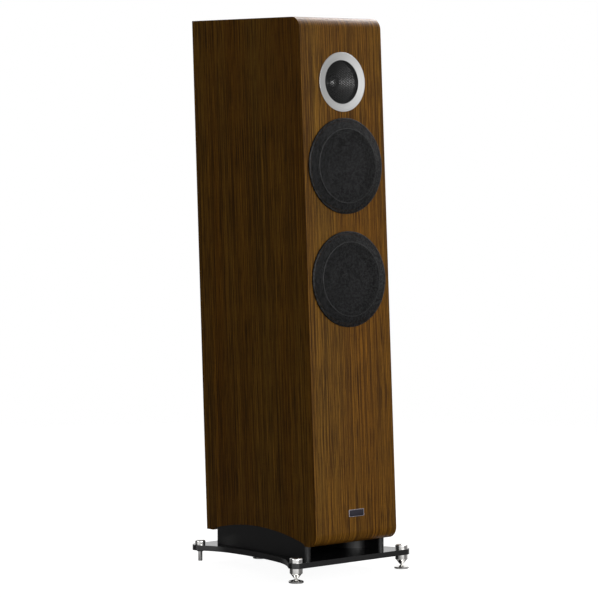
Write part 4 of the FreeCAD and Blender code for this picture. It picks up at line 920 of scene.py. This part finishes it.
def build_lights():
    front, middle, head = (0.0, -0.1, 0.5), (0.0, 0.0, 0.6), (0.0, 0.0, 1.0)
    sheen_spot = (-0.1, -0.2, 0.65)
    blush = (1.0, 0.96, 0.97)
    add_softbox("key", (-0.3, -3.6, 1.5), front, size=(1.4, 1.2), power=44.0)
    add_softbox("front_left", (-1.6, -3.8, 1.0), front, size=(2.4, 1.6), power=22.0)
    add_softbox("right_high", (2.6, 0.75, 3.2), head, size=(2.5, 1.5), power=210.0, tint=blush)
    add_softbox("left_fill", (-3.2, 0.6, 2.2), middle, size=(1.4, 1.8), power=17.0)
    add_softbox("sheen", (0.25, -1.15, 0.75), sheen_spot, size=(0.8, 1.7), power=2.8)


def build_surround():
    """White to the camera and dim grey to the object, with a soft glow towards the front right.

    Reflections see a bright studio too, apart from the directions that the big flat faces mirror.
    """
    world = bpy.data.worlds.new("surround")
    world.use_nodes = True
    bpy.context.scene.world = world
    nodes, links = world.node_tree.nodes, world.node_tree.links
    nodes.clear()
    direction = nodes.new("ShaderNodeTexCoord").outputs["Generated"]
    rays = nodes.new("ShaderNodeLightPath")

    def maths(operation, *values):
        node = nodes.new("ShaderNodeMath")
        node.operation = operation
        for index, value in enumerate(values):
            links.new(value, node.inputs[index])
        return node.outputs[0]

    def level(towards, start, end, start_level, end_level, absolute=False):
        """A smooth change of level as a ray's direction turns towards another one."""
        facing = nodes.new("ShaderNodeVectorMath")
        facing.operation = "DOT_PRODUCT"
        facing.inputs[1].default_value = Vector(towards).normalized()
        links.new(direction, facing.inputs[0])
        value = facing.outputs["Value"]
        if absolute:
            value = maths("ABSOLUTE", value)
        levels = nodes.new("ShaderNodeMapRange")
        levels.interpolation_type = "SMOOTHSTEP"
        for index, number in enumerate((start, end, start_level, end_level), 1):
            levels.inputs[index].default_value = number
        links.new(value, levels.inputs[0])
        return levels.outputs[0]

    front_right = (0.50, -0.80, 0.34)
    glow = level(front_right, 0.45, 1.0, start_level=0.07, end_level=0.62)
    studio = level(MIRRORED, *MIRROR_FADE, start_level=0.95, end_level=0.0, absolute=True)
    ceiling = level(UPRIGHT, 0.45, 0.85, start_level=1.0, end_level=0.0)
    reflected = maths("MULTIPLY", maths("MULTIPLY", studio, ceiling), rays.outputs["Is Glossy Ray"])
    dim, white = nodes.new("ShaderNodeBackground"), nodes.new("ShaderNodeBackground")
    links.new(maths("ADD", glow, reflected), dim.inputs["Color"])
    white.inputs["Color"].default_value = (1.0, 1.0, 1.0, 1.0)
    mix = nodes.new("ShaderNodeMixShader")
    links.new(rays.outputs["Is Camera Ray"], mix.inputs[0])
    links.new(dim.outputs[0], mix.inputs[1])
    links.new(white.outputs[0], mix.inputs[2])
    links.new(mix.outputs[0], nodes.new("ShaderNodeOutputWorld").inputs[0])


def build_camera():
    """A long lens at about four fifths of the speaker's height, looking slightly down."""
    tilt, bearing = math.radians(86.29), math.radians(-39.94)
    camera = bpy.data.cameras.new("camera")
    camera.sensor_width = 36.0
    camera.lens = 166.2
    camera.clip_end = 50.0
    viewer = bpy.data.objects.new("camera", camera)
    viewer.location = (-3.9277, -4.7106, 0.9935)
    viewer.rotation_euler = (tilt, 0.0, bearing)
    bpy.context.scene.collection.objects.link(viewer)
    bpy.context.scene.camera = viewer


paint_cabinet()
paint_metalwork()
paint_drivers()
paint_terminals()
paint_crossover()
build_pieces()
build_floor()
build_lights()
build_surround()
build_camera()
bpy.context.scene.view_settings.view_transform = "Standard"
